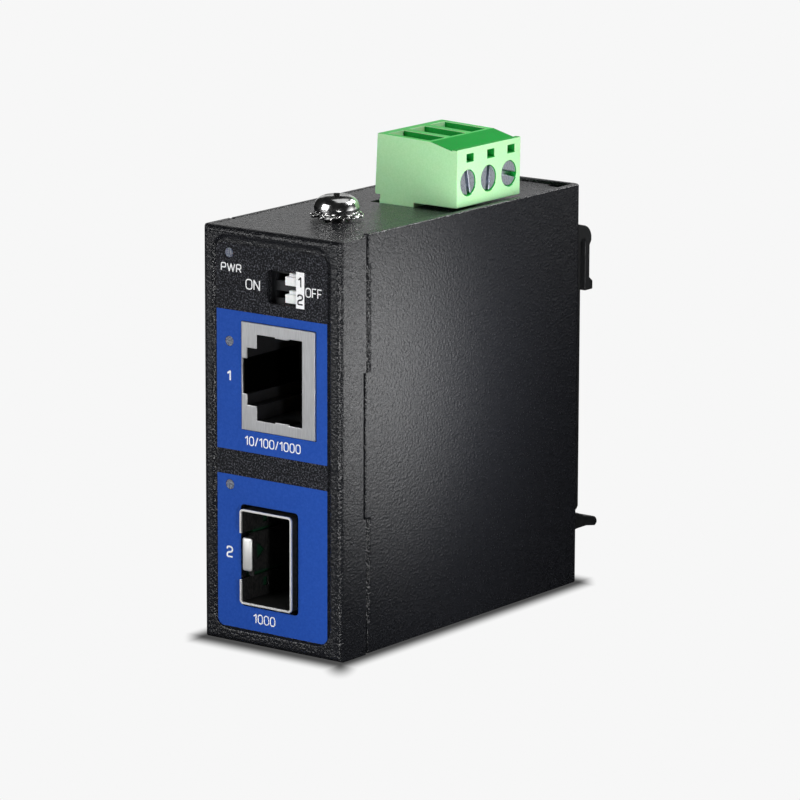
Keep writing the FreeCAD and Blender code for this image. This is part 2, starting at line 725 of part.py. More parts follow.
def cage():
    front = FRONT - CAGE_PROUD
    end = cage_end()
    low, high = cage_z()
    tube = rounded(CAGE_X, (low, high), CAGE_R, (front, end))
    room = rounded((CAGE_X[0] + CAGE_SKIN, CAGE_X[1] - CAGE_SKIN), (low + CAGE_SKIN, high - CAGE_SKIN),
                   CAGE_R - CAGE_SKIN, (front - 1, end - CAGE_SKIN))
    wall = (CAGE_X[0] - MARGIN, CAGE_X[0] + CAGE_SKIN)
    half = TONGUE_HIGH / 2
    low_in, high_in = socket_z()
    fit = SOCKET_SIDE_GAP / 2
    cuts = [room, block(wall, (socket_y()[0] - CAGE_SKIN, end - CAGE_SKIN), (low_in - fit, high_in + fit))]
    cuts.append(block(wall, (front - 1, at(LIP_START)), about(CAGE_MID_Z, TONGUE_HIGH + 2 * TONGUE_SLOT)))
    for middle in (CAGE_MID_Z - half - TONGUE_SLOT / 2, CAGE_MID_Z + half + TONGUE_SLOT / 2):
        cuts.append(block(wall, (front - 1, at(TONGUE_ROOT)), about(middle, TONGUE_SLOT)))
    y0, y1 = TRIANGLE_Y
    cuts.append(prism([
        (at(y0), CAGE_MID_Z - TRIANGLE_HIGH / 2), (at(y1), CAGE_MID_Z),
        (at(y0), CAGE_MID_Z + TRIANGLE_HIGH / 2),
    ], "yz", wall))
    for middle in (CAGE_MID_Z - CAGE_WINDOW_Z, CAGE_MID_Z + CAGE_WINDOW_Z):
        cuts.append(block(wall, (at(CAGE_WINDOW_Y[0]), at(CAGE_WINDOW_Y[1])), about(middle, CAGE_WINDOW_HIGH)))
    body = tube.cut(cuts)
    x0 = CAGE_X[0]
    run = LIP_START - LIP_FRONT
    outer, inner = (at(LIP_FRONT + run * share) for share in LIP_CURL)
    lip = prism([
        (x0, at(LIP_START)), ((x0 + LIP_IN / 4, outer), (x0 + LIP_IN, at(LIP_FRONT))),
        (x0 + LIP_IN, at(LIP_FRONT) + CAGE_SKIN),
        ((x0 + LIP_IN / 4 + CAGE_SKIN, inner), (x0 + CAGE_SKIN, at(LIP_START))),
    ], "xy", about(CAGE_MID_Z, TONGUE_HIGH))
    long, thick = CAGE_PIN
    pin_x = (PIN_END_X, x0 + CAGE_R + CAGE_SKIN)
    pins = [block(pin_x, about(y, long), about(z, thick)) for y, z in cage_pin_places()]
    return union([body, lip] + pins)


def cage_pin_places():
    low, high = cage_z()
    start = at(CAGE_PIN_START)
    pitch = (socket_y()[0] - CAGE_PIN[0] - start) / (CAGE_PIN_COUNT - 1)
    half = CAGE_PIN[1] / 2
    return [(start + k * pitch, z) for k in range(CAGE_PIN_COUNT) for z in (low + half, high - half)]


def module_socket():
    y = socket_y()
    low, high = socket_z()
    body = block((BOARD_FACE_X, BOARD_FACE_X + SOCKET_TALL), y, (low, high))
    slot_z = (low + SOCKET_SLOT_WALL, high - SOCKET_SLOT_WALL)
    slot = block(SOCKET_SLOT_X, (y[0] - MARGIN, y[1] + MARGIN), slot_z)
    wide, deep = SOCKET_LEAD_IN
    left, right = SOCKET_SLOT_X
    lead_in = prism([
        (left - wide, y[0]), (right + wide, y[0]), (right, y[0] + deep), (left, y[0] + deep),
    ], "xy", slot_z)
    return body.cut([slot, lead_in])


def module_contacts():
    start = socket_y()[0] + SOCKET_LEAD_IN[1] * 2
    wide, thick = MODULE_CONTACT
    beams = []
    for z in row(CAGE_MID_Z, MODULE_CONTACTS, MODULE_PITCH):
        for top, tail in zip((SOCKET_SLOT_X[0] + thick, SOCKET_SLOT_X[1]), MODULE_TAILS):
            back = socket_y()[1] + tail
            foot = back + MODULE_FOOT
            beams.append(prism([
                (top, start), (top, back), (BOARD_FACE_X + thick, back), (BOARD_FACE_X + thick, foot),
                (BOARD_FACE_X, foot), (BOARD_FACE_X, back - thick), (top - thick, back - thick),
                (top - thick, start),
            ], "xy", about(z, wide)))
    return Part.makeCompound(beams)


# Option switch: body with two chambers, two knobs

def switch_zs():
    return [SWITCH_MID_Z + SWITCH_PITCH / 2, SWITCH_MID_Z - SWITCH_PITCH / 2]


def switch_body():
    y0 = at(SWITCH_FACE_Y)
    high = SWITCH_PITCH + KNOB_HIGH + 2 * SWITCH_BODY_WALL
    body = block(SWITCH_BODY_X, (y0, y0 + SWITCH_BODY_DEEP), about(SWITCH_MID_Z, high))
    cuts = []
    travel_x = (KNOB_X[0] - KNOB_TRAVEL - 2 * KNOB_FIT, KNOB_X[1] + 2 * KNOB_FIT)
    for z in switch_zs():
        stem = KNOB_HIGH / 2
        cuts.append(block(travel_x, (y0 - MARGIN, y0 + SWITCH_WALL + SLIVER), about(z, stem + 2 * KNOB_FIT)))
        cuts.append(block(travel_x, (y0 + SWITCH_WALL, y0 + SWITCH_BODY_DEEP - SWITCH_WALL),
                          about(z, KNOB_HIGH + 2 * KNOB_FIT)))
    return body.cut(cuts)


def switch_knob(z):
    """Knob, stem and the carriage that the body holds, one moulding."""
    y0 = at(SWITCH_FACE_Y)
    x0, x1 = KNOB_X
    half = KNOB_HIGH / 2
    inner = y0 + SWITCH_WALL + KNOB_FIT
    knob = block(KNOB_X, (y0 - KNOB_PROUD, y0 - KNOB_FIT), (z - half, z + half - KNOB_STEP))
    ledge = block((x0 + KNOB_STEP, x1), (y0 - KNOB_PROUD + KNOB_LEDGE, y0 - KNOB_FIT), about(z, KNOB_HIGH))
    stem = block(KNOB_X, (y0 - KNOB_FIT, inner), about(z, half))
    carriage = block(KNOB_X, (inner, inner + 2 * SWITCH_WALL - KNOB_FIT), about(z, KNOB_HIGH))
    return union([knob, ledge, stem, carriage])


def switch_leads():
    thick, wide = SWITCH_LEAD
    x = (PIN_END_X, SWITCH_BODY_X[0])
    return Part.makeCompound([block(x, about(y, thick), about(z, wide)) for y, z in switch_lead_places()])


def switch_lead_places():
    return [(at(SWITCH_FACE_Y + y), z) for z in switch_zs() for y in SWITCH_LEAD_Y]


# Status lamps: light pipes in the front and chips on the board

def light_pipes():
    pipes = []
    for z in LAMP_Z:
        start = FRONT + DISH_DEPTH - LABEL_THICK
        reach = at(BOARD_Y[0]) - start
        neck = flats((LAMP_X, start, z), (0, 1, 0), LAMP_D / 2 - LAMP_FIT, reach, ROUND_FLATS)
        collar = flats((LAMP_X, FRONT + SHEET + DISH_DEPTH, z), (0, 1, 0), *LAMP_COLLAR, SMALL_FLATS)
        pipes.append(union([neck, collar]))
    return Part.makeCompound(pipes)


def lamp_chips():
    high, deep, wide = LAMP_CHIP
    x = (BOARD_BACK_X - high, BOARD_BACK_X)
    start = at(BOARD_Y[0])
    return Part.makeCompound([block(x, (start + LAMP_GAP, start + deep), about(z, wide)) for z in LAMP_Z])


# Circuit board with its screws and standoffs

def board_screw_places():
    """Two at the bottom and two at the top, the rear one ahead of the header."""
    low = BOARD_SCREW_INSET
    high = HEIGHT - BOARD_SCREW_INSET
    front, back = (at(y) for y in BOARD_SCREW_Y)
    return [(front, low), (back, low), (front, high), (header_y()[0] - BOARD_SCREW_AHEAD, high)]


def circuit_board():
    x = (BOARD_BACK_X, BOARD_FACE_X)
    board = block(x, (at(BOARD_Y[0]), at(BOARD_Y[1])), BOARD_Z)
    holes = [(y, z, BOARD_HOLE_R, SMALL_FLATS) for y, z in board_screw_places()]
    pins = [(at(TAIL_Y), z) for z in contact_zs()] + cage_pin_places() + switch_lead_places()
    holes += [(y, z, PIN_DRILL_R, TINY_FLATS) for y, z in pins]
    holes += [(y, PIN_BEND_Z, HEADER_DRILL_R, SMALL_FLATS) for y in pole_ys()]
    through = BOARD_THICK + 2 * SLIVER
    drills = [drill((BOARD_FACE_X + SLIVER, y, z), (-1, 0, 0), r, through, count) for y, z, r, count in holes]
    return board.cut(drills)


def standoffs():
    """Hexagonal posts from the chassis flanges to the board."""
    inner = -PLATE_HALF + SHEET
    reach = BOARD_BACK_X - inner
    posts = []
    for y, z in board_screw_places():
        post = flats((inner, y, z), (1, 0, 0), STANDOFF_R, reach, STANDOFF_SIDES)
        posts.append(post.cut(drill((inner, y, z), (1, 0, 0), BOARD_SCREW_R + SCREW_FIT, reach, SMALL_FLATS)))
    return Part.makeCompound(posts)


def board_screws():
    screws = []
    for y, z in board_screw_places():
        face = (BOARD_FACE_X, y, z)
        head = flats(face, (1, 0, 0), HEAD_R, HEAD_HIGH, SMALL_FLATS)
        shank = flats(face, (-1, 0, 0), BOARD_SCREW_R, BOARD_FACE_X + PLATE_HALF, SMALL_FLATS)
        screws.append(union([head, shank]))
    return Part.makeCompound(screws)


# Parts on the board

def on_board(y, z, size):
    high, long, tall = size
    return block((BOARD_FACE_X, BOARD_FACE_X + high), about(y, long), about(z, tall))


def lead_span(size, leads):
    return size[1] + 2 * leads[2]


def leaded_chip(y, z, size, leads):
    """A flat body with leads along two sides."""
    count, pitch, reach = leads
    half = size[1] / 2
    x = (BOARD_FACE_X, BOARD_FACE_X + LEAD_THICK)
    pieces = [on_board(y, z, size)]
    for level in row(z, count, pitch):
        for span in ((y - half - reach, y - half), (y + half, y + half + reach)):
            pieces.append(block(x, span, about(level, pitch * LEAD_SHARE)))
    return union(pieces)


def electrolytic(y, z):
    high, rim = CAN_BASE
    side = 2 * (CAN_R + rim)
    can = rod((BOARD_FACE_X + high, y, z), (1, 0, 0), CAN_R, CAN_HIGH - high)
    return union([on_board(y, z, (high, side, side)), can])


def wound_inductor(y, z):
    core = on_board(y, z, INDUCTOR)
    edges = [e for e in core.Edges if abs(e.BoundBox.XLength - INDUCTOR[0]) < SLIVER]
    return core.makeFillet(INDUCTOR_R, edges)


def chip_row(z, size, layout):
    count, pitch, start = layout
    return [on_board(at(start + k * pitch), z, size) for k in range(count)]


def board_parts():
    """The tall parts stand where the jack, the cage and the header leave room."""
    cage_low, cage_high = cage_z()
    jack_low, jack_high = jack_z()
    middle = (cage_high + PIN_BEND_Z) / 2
    transformer_y = at(JACK_DEEP) + 2 * PART_GAP + lead_span(TRANSFORMER, TRANSFORMER_LEADS) / 2
    halves = (lead_span(TRANSFORMER, TRANSFORMER_LEADS) + lead_span(CHIP, CHIP_LEADS)) / 2
    parts = {
        "line_transformer": leaded_chip(transformer_y, middle, TRANSFORMER, TRANSFORMER_LEADS),
        "converter_chip": leaded_chip(transformer_y + halves + PART_GAP, middle, CHIP, CHIP_LEADS),
    }
    column_y = cage_end() + PART_GAP + INDUCTOR[1] / 2
    inductor_z = BOARD_SCREW_INSET + HEAD_R + PART_GAP / 2 + INDUCTOR[2] / 2
    can_z = inductor_z + INDUCTOR[2] / 2 + PART_GAP + CAN_R + CAN_BASE[1]
    parts["power_inductor"] = wound_inductor(column_y, inductor_z)
    parts["storage_capacitor"] = electrolytic(column_y, can_z)
    end = header_y()[0]
    level = jack_high + ROW_LIFT + REGULATOR[2] / 2
    for name, size, leads in (("regulator", REGULATOR, REGULATOR_LEADS), ("memory_chip", MEMORY, MEMORY_LEADS),
                              ("surge_diode", DIODE, DIODE_LEADS)):
        span = lead_span(size, leads)
        parts[name] = leaded_chip(end - PART_GAP - span / 2, level, size, leads)
        end -= PART_GAP + span
    strip = (cage_high + jack_low) / 2
    parts["input_fuse"] = on_board(at(FUSE_START) + FUSE[1] / 2, strip, FUSE)
    parts["crystal"] = on_board(at(CRYSTAL_START) + CRYSTAL[1] / 2, strip, CRYSTAL)
    foot = (BOARD_Z[0] + cage_low) / 2
    parts["ceramic_capacitors"] = Part.makeCompound(chip_row(foot, CERAMIC, CERAMIC_ROW))
    parts["chip_resistors"] = Part.makeCompound(
        chip_row(strip, RESISTOR, RESISTOR_ROWS[0]) + chip_row(foot, RESISTOR, RESISTOR_ROWS[1]))
    return parts


# Header on the board and the plug that mates with it

def tongue_end_z():
    return PLUG_BASE_Z - TONGUE_LONG


def header_y():
    return about(at(POLE_MID_Y), PLUG_LONG + 2 * (HEADER_FIT + HEADER_WALL))


def terminal_header():
    gap = HEADER_FIT
    floor_z = tongue_end_z() - SEAT_GAP
    mid = at(POLE_MID_Y)
    top = HEIGHT - SHEET - SHEET_GAP
    body = block((BOARD_FACE_X, TONGUE_X[1] + gap + HEADER_WALL), header_y(), (floor_z - HEADER_FLOOR, top))
    room = block((TONGUE_X[0] - gap, TONGUE_X[1] + gap), about(mid, PLUG_LONG + 2 * gap), (floor_z, HEIGHT))
    cuts = [room]
    for pole in pole_ys():
        side = about(SOCKET_X, PIN_SIDE)
        cuts.append(block(side, about(pole, PIN_SIDE), (floor_z - HEADER_FLOOR - SLIVER, floor_z + SLIVER)))
    return body.cut(cuts)


def header_pins():
    pins = []
    half = PIN_SIDE / 2
    for pole in pole_ys():
        pins.append(prism([
            (SOCKET_X - half, PIN_TOP_Z), (SOCKET_X + half, PIN_TOP_Z),
            (SOCKET_X + half, PIN_BEND_Z - half), (PIN_END_X, PIN_BEND_Z - half),
            (PIN_END_X, PIN_BEND_Z + half), (SOCKET_X - half, PIN_BEND_Z + half),
        ], "xz", about(pole, PIN_SIDE)))
    return Part.makeCompound(pins)


def plug_housing():
    mid = at(POLE_MID_Y)
    y = about(mid, PLUG_LONG)
    lip = PLUG_RIGHT - PLUG_LIP
    back_lean, front_lean = PLUG_LEAN
    step_z = PLUG_BASE_Z + PLUG_STEP
    shell = prism([
        (PLUG_LEFT + PLUG_STEP, PLUG_BASE_Z), (PLUG_RIGHT - front_lean, PLUG_BASE_Z),
        (PLUG_RIGHT, PLUG_EDGE_Z), (lip, PLUG_EDGE_Z), (lip, PLUG_EDGE_Z - PLUG_LIP_STEP),
        (PLUG_RIDGE_X, PLUG_TOP_Z - PLUG_RIDGE_DROP), (PLUG_LEFT + back_lean, PLUG_TOP_Z),
        (PLUG_LEFT, step_z), (PLUG_LEFT + PLUG_STEP, step_z - PLUG_STEP_SLOPE),
    ], "xz", y)
    tongue = block(TONGUE_X, y, (tongue_end_z(), step_z + PLUG_STEP))
    trim_x = (TONGUE_X[0] - MARGIN, PLUG_LEFT + PLUG_STEP)
    cuts = [block(trim_x, y, (PLUG_BASE_Z, step_z - PLUG_STEP_SLOPE))]
    for pole in pole_ys():
        cuts.append(block(ENTRY_X, about(pole, ENTRY_WIDE), (CHAMBER_Z[1] - SLIVER, PLUG_TOP_Z + SLIVER)))
        cuts.append(block(CHAMBER_X, about(pole, CHAMBER_WIDE), CHAMBER_Z))
        tunnel = PLUG_RIGHT - CHAMBER_X[1] + 2 * SLIVER
        start = (PLUG_RIGHT + SLIVER, pole, SCREW_Z)
        cuts.append(drill(start, (-1, 0, 0), CLAMP_HEAD_R + SCREW_FIT, tunnel, ROUND_FLATS))
        room = about(pole, SOCKET_OUT + 2 * SCREW_FIT)
        down = (tongue_end_z() - SLIVER, CHAMBER_Z[0] + SLIVER)
        cuts.append(block(about(SOCKET_X, SOCKET_OUT + 2 * SCREW_FIT), room, down))
        reach, rise = SOCKET_ROOM
        pocket = (CHAMBER_X[0] - reach, CHAMBER_X[0] + SLIVER)
        cuts.append(block(pocket, room, (CHAMBER_Z[0], CHAMBER_Z[0] + rise)))
        wide, high, deep = TEST_HOLE
        test_y = about(pole + TEST_HOLE_SHIFT, wide)
        cuts.append(block((PLUG_RIGHT - deep, PLUG_RIGHT + SLIVER), test_y, about(TEST_HOLE_Z, high)))
    return union([shell, tongue]).cut(cuts)


def plug_contacts():
    """A clamp bar, a step under the cage and a box socket for the pin, one strip each."""
    parts = []
    low = CHAMBER_Z[0] + STRIP_LIFT
    top = low + STRIP_THICK
    for pole in pole_ys():
        bar = block(BAR_X, about(pole, BAR_WIDE), (low, CLAMP_Z[1]))
        step = block((SOCKET_X - SOCKET_OUT / 2, BAR_X[1]), about(pole, SOCKET_OUT), (low, top))
        end = tongue_end_z() + STRIP_THICK
        socket = block(about(SOCKET_X, SOCKET_OUT), about(pole, SOCKET_OUT), (end, top))
        bore = SOCKET_OUT - 2 * SOCKET_WALL
        hole = block(about(SOCKET_X, bore), about(pole, bore), (tongue_end_z(), low - SOCKET_ROOF))
        parts.append(union([bar, step, socket]).cut(hole))
    return Part.makeCompound(parts)


def clamp_cage(pole):
    x = CLAMP_X
    box = block(x, about(pole, CLAMP_WIDE), CLAMP_Z)
    inside = (x[0] + CLAMP_WALL, x[1] - CLAMP_WALL)
    room = block(inside, about(pole, CLAMP_WIDE - 2 * CLAMP_SIDE), (CLAMP_Z[0] - SLIVER, CLAMP_Z[1] + SLIVER))
    start = (x[1] + SLIVER, pole, SCREW_Z)
    tapped = drill(start, (-1, 0, 0), CLAMP_SCREW_R + SCREW_FIT, CLAMP_WALL + 2 * SLIVER, SMALL_FLATS)
    return box.cut([room, tapped])


def clamp_screw(pole, angle):
    face = PLUG_RIGHT - CLAMP_HEAD_SUNK
    head = rod((face, pole, SCREW_Z), (-1, 0, 0), CLAMP_HEAD_R, CLAMP_HEAD_LONG)
    under = face - CLAMP_HEAD_LONG + SLIVER
    shank = flats((under, pole, SCREW_Z), (-1, 0, 0), CLAMP_SCREW_R, under - BAR_X[1] - SCREW_FIT, SMALL_FLATS)
    wide, deep = DRIVER_SLOT
    slot = block((face - deep, face + MARGIN), about(pole, 3 * CLAMP_HEAD_R), about(SCREW_Z, wide))
    slot.rotate(V(face, pole, SCREW_Z), V(1, 0, 0), angle)
    return union([head, shank]).cut(slot)


# Ground screw with its toothed washer

def ground_washer():
    mid = (GROUND_X, at(GROUND_Y), HEIGHT + WASHER_LIFT)
    ring = flats(mid, (0, 0, 1), WASHER_RIM, WASHER_THICK, ROUND_FLATS)
    ring = ring.cut(drill(mid, (0, 0, 1), GROUND_R + WASHER_FIT, WASHER_THICK, ROUND_FLATS))
    teeth = []
    level = mid[2] + WASHER_THICK / 2
    for k in range(WASHER_TEETH):
        thick = WASHER_THICK * TOOTH_SHARE
        tooth = block((WASHER_RIM - TOOTH_ROOT, WASHER_R), about(0, WASHER_TOOTH), about(0, thick))
        tooth.rotate(V(0, 0, 0), V(1, 0, 0), WASHER_TWIST)
        tooth.rotate(V(0, 0, 0), V(0, 0, 1), 360.0 * k / WASHER_TEETH)
        tooth.translate(V(mid[0], mid[1], level))
        teeth.append(tooth)
    return union([ring] + teeth)


def ground_head_z():
    half_tooth = WASHER_TOOTH / 2 * math.sin(math.radians(WASHER_TWIST))
    half_thick = WASHER_THICK * TOOTH_SHARE / 2 * math.cos(math.radians(WASHER_TWIST))
    return HEIGHT + WASHER_LIFT + WASHER_THICK / 2 + half_tooth + half_thick + SLIVER


def ground_screw():
    """Pan head with a rounded shoulder, each step of it in from the edge and up from the seat."""
    low = ground_head_z()
    high = low + GROUND_HEAD_HIGH
    r = GROUND_HEAD_R
    shoulder = [(r - inward, low + up) for inward, up in GROUND_SHOULDER]
    profile = [(0, low), (r - GROUND_CHAMFER, low), (r, low + GROUND_CHAMFER)] + shoulder + [(0, high)]
    head = Part.Face(outline(profile, "xz", 0)).revolve(V(0, 0, 0), V(0, 0, 1), 360)
    shank = flats((0, 0, low + SLIVER), (0, 0, -1), GROUND_R, GROUND_LONG, SMALL_FLATS)
    wide, long, deep = CROSS
    half = long / 2
    arm = prism([
        (-half, high + SLIVER), (-half, high - CROSS_EDGE), (-CROSS_FLOOR / 2, high - deep),
        (CROSS_FLOOR / 2, high - deep), (half, high - CROSS_EDGE), (half, high + SLIVER),
    ], "xz", about(0, wide))
    other = arm.copy()
    other.rotate(V(0, 0, 0), V(0, 0, 1), 90)
    screw = union([head, shank]).cut([arm, other])
    screw.rotate(V(0, 0, 0), V(0, 0, 1), GROUND_TURN)
    screw.translate(V(GROUND_X, at(GROUND_Y), 0))
    return screw


# Rail clip: moulded bracket with a hook, and a sprung latch in its channel

def rail_y():
    """The room for the rail's flange, between the bracket and the hook."""
    start = BACK + CLIP_PLATE
    return (start, start + RAIL_THICK + 2 * RAIL_FIT)


def spring_seat_z():
    """Top of the post that holds the spring's lower end."""
    return WINDOW_Z[0] + SHEET_GAP + POST_HIGH


def clip_bracket():
    near, far = rail_y()
    outer = far + HOOK_LEG
    top = CLIP_TOP_Z
    roof = HOOK_ROOF_Z
    foot = HOOK_TIP_Z + HOOK_FOOT_HIGH
    edge = CLIP_PLATE_EDGE
    crest_in, crest_down = HOOK_CREST
    body = prism([
        (BACK, CLIP_BOTTOM_Z), (near - edge, CLIP_BOTTOM_Z), (near, CLIP_BOTTOM_Z + edge),
        (near, roof - HOOK_ROOF_R), (((near + far) / 2, roof), (far, roof - HOOK_ROOF_R)),
        (far, HOOK_TIP_Z), (outer + HOOK_FOOT, HOOK_TIP_Z), (outer + HOOK_FOOT, foot),
        (outer, foot + HOOK_FOOT_SLOPE), (outer, roof - HOOK_BACK - HOOK_BACK_SLOPE),
        (outer + HOOK_BACK, roof - HOOK_BACK), (outer + HOOK_BACK, roof + HOOK_BACK / 2),
        ((outer - HOOK_BACK / 4, roof + 3 * HOOK_BACK), (outer - HOOK_LEG, top - 2 * crest_down)),
        (outer - crest_in, top - crest_down), (BACK, top),
    ], "yz", (-CLIP_HALF, CLIP_HALF))
    ribs = []
    for x in (RIB_X, (-RIB_X[1], -RIB_X[0])):
        ribs.append(block(x, (near - SLIVER, far + SLIVER), (RAIL_TOP_Z, roof - HOOK_ROOF_R / 2)))
    channel_x = (-LATCH_HALF - LATCH_FIT, LATCH_HALF + LATCH_FIT)
    channel_y = (BACK - SLIVER, BACK + LATCH_THICK + 2 * LATCH_FIT)
    channel = block(channel_x, channel_y, (CLIP_BOTTOM_Z - SLIVER, CHANNEL_TOP_Z))
    post_top = spring_seat_z()
    window_x = (-WINDOW_HALF, WINDOW_HALF)
    window = block(window_x, (BACK - SLIVER, near + SLIVER), (post_top, WINDOW_Z[1] + WINDOW_PAST))
    cuts = [channel, window]
    for x, z in clip_screw_places():
        cone = countersink(x, z, near, SCREW_FIT)
        start = (x, near + SLIVER, z)
        through = CLIP_PLATE + 2 * SLIVER
        cuts += [cone, drill(start, (0, -1, 0), SMALL_SCREW_R + SCREW_FIT, through, SMALL_FLATS)]
    moulding = union([body] + ribs).cut(cuts)
    post = block((-POST_HALF, POST_HALF), (BACK + LATCH_FIT, BACK + LATCH_THICK + 3 * LATCH_FIT),
                 (WINDOW_Z[0] + SHEET_GAP, post_top))
    return union([moulding, post])


def clip_latch():
    near = BACK + LATCH_FIT
    low, high = LIP_ROOT_Z
    middle = (low + high) / 2
    plate = block((-LATCH_HALF, LATCH_HALF), (near, near + LATCH_THICK), (middle, LATCH_TOP_Z))
    tip = BACK + LIP_LONG
    drop = LIP_DROP
    lip = prism([
        (near, low), (BACK + CLIP_PLATE, low + drop), (tip - LIP_HOLLOW, low + drop),
        (tip - LIP_NOSE / 2, low - drop),
        (tip, low + drop), ((tip - LIP_NOSE / 4, low + LIP_NOSE), (tip - LIP_NOSE, low + LIP_TIP_HIGH)),
        (tip - LIP_SLOPE, low + LIP_BEND_HIGH), (BACK + CLIP_PLATE, high - drop), (near, high),
    ], "yz", (-CLIP_HALF, CLIP_HALF))
    hold = rail_y()[1]
    top = RAIL_BOTTOM_Z + LATCH_OVERLAP
    nose = prism([
        (hold, low + LIP_NOSE), (hold, top), (hold + NOSE_FLAT, top), (tip - LIP_NOSE, low + LIP_NOSE),
    ], "yz", (-LATCH_HALF, LATCH_HALF))
    window = block((-WINDOW_HALF, WINDOW_HALF), (near - SLIVER, near + LATCH_THICK + SLIVER), WINDOW_Z)
    return union([plate, lip, nose]).cut(window)


def clip_spring():
    """Wound square wire, its corners on the wire's radius."""
    low = spring_seat_z() + SPRING_WIRE + SPRING_END_GAP / 2
    high = WINDOW_Z[1] - SPRING_WIRE - SPRING_END_GAP / 2
    middle = V(0, BACK + LATCH_FIT + SPRING_R + SPRING_WIRE, low)
    steps = SPRING_TURNS * SPRING_STEPS
    section = ((-SPRING_WIRE, 0), (0, -SPRING_WIRE), (SPRING_WIRE, 0), (0, SPRING_WIRE))
    rings = []
    for k in range(steps + 1):
        turn = 2 * math.pi * k / SPRING_STEPS
        rise = (high - low) * k / steps
        out = V(math.cos(turn), math.sin(turn), 0)
        rings.append([middle + out * (SPRING_R + r) + V(0, 0, rise + z) for r, z in section])
    return skin(rings)


# Write the pieces

def main():
    os.makedirs("parts", exist_ok=True)
    near = rail_y()[0]
    pieces = {
        "chassis": chassis(),
        "wrap_cover": cover(),
        "front_label": label(),
        "cover_screws": flat_screws(cover_screw_places(), BACK, CHASSIS_BACK - SHEET - SCREW_PAST),
        "ground_screw": ground_screw(),
        "ground_washer": ground_washer(),
        "rail_bracket": clip_bracket(),
        "rail_latch": clip_latch(),
        "latch_spring": clip_spring(),
        "bracket_screws": flat_screws(clip_screw_places(), near, BACK - SHEET - SCREW_PAST),
        "light_pipes": light_pipes(),
        "lamp_chips": lamp_chips(),
        "switch_body": switch_body(),
        "switch_leads": switch_leads(),
        "jack_shield": jack_shield(),
        "jack_insert": jack_insert(),
        "jack_contacts": jack_contacts(),
        "module_cage": cage(),
        "module_socket": module_socket(),
        "module_contacts": module_contacts(),
        "terminal_header": terminal_header(),
        "header_pins": header_pins(),
        "terminal_plug": plug_housing(),
        "plug_contacts": plug_contacts(),
        "circuit_board": circuit_board(),
        "board_standoffs": standoffs(),
        "board_screws": board_screws(),
    }
    pieces.update(board_parts())
    for k, z in enumerate(switch_zs()):
        pieces["switch_knob_%d" % (k + 1)] = switch_knob(z)
    for k, pole in enumerate(pole_ys()):
        pieces["clamp_screw_%d" % (k + 1)] = clamp_screw(pole, DRIVER_ANGLES[k])
        pieces["clamp_cage_%d" % (k + 1)] = clamp_cage(pole)
    for name, shape in pieces.items():
        shape.exportStep("parts/" + name + ".step")


main()
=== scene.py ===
import json
import math

import bmesh
import bpy
from bpy.props import FloatProperty, FloatVectorProperty, IntProperty, PointerProperty, StringProperty
from mathutils import Matrix, Vector
from mathutils.bvhtree import BVHTree

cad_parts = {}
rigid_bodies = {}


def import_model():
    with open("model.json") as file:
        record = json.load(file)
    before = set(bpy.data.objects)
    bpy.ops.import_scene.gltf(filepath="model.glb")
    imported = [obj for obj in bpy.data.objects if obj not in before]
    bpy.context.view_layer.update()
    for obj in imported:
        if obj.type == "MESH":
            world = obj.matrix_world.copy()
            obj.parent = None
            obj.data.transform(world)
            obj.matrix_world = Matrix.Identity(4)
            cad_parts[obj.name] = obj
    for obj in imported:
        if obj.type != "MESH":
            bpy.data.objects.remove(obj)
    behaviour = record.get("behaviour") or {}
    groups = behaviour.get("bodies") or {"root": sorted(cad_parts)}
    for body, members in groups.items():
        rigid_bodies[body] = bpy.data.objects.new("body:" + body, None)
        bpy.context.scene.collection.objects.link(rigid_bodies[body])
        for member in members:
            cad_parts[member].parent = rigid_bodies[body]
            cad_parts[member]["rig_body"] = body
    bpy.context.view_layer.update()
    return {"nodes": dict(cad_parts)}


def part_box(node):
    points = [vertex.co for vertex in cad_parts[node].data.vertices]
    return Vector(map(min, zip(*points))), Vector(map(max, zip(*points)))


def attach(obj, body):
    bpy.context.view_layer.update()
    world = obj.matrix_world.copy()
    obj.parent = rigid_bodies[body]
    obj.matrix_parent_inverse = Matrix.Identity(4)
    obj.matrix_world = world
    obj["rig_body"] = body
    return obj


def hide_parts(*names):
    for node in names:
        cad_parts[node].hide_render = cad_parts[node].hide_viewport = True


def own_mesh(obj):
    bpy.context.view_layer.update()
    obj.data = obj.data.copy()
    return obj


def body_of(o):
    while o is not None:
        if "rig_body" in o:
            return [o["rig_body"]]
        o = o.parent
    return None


bl_info = {
    "name": "Fibre media converter",
    "version": (1, 0, 0),
    "blender": (4, 5, 0),
    "location": "3D View > Sidebar > Converter",
    "description": "Dresses the solids of a rail-mounted fibre media converter",
    "category": "Object",
}

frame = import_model()
NODES = frame["nodes"]
MM = 0.001


# Settings

LENGTH = {"subtype": "DISTANCE", "unit": "LENGTH"}


class CaseSettings(bpy.types.PropertyGroup):
    """Folded sheet with a textured powder coat."""
    coat: StringProperty(
        name="Coat colour", description="sRGB hex colour of the powder coat", default="#15161A")
    grain: FloatProperty(
        name="Grain", description="Width of one lump of the coat's texture, in millimetres",
        default=0.38, min=0.1)
    edge: FloatProperty(
        name="Edge", description="Radius that the coat gives a cut edge", default=0.00016, **LENGTH)


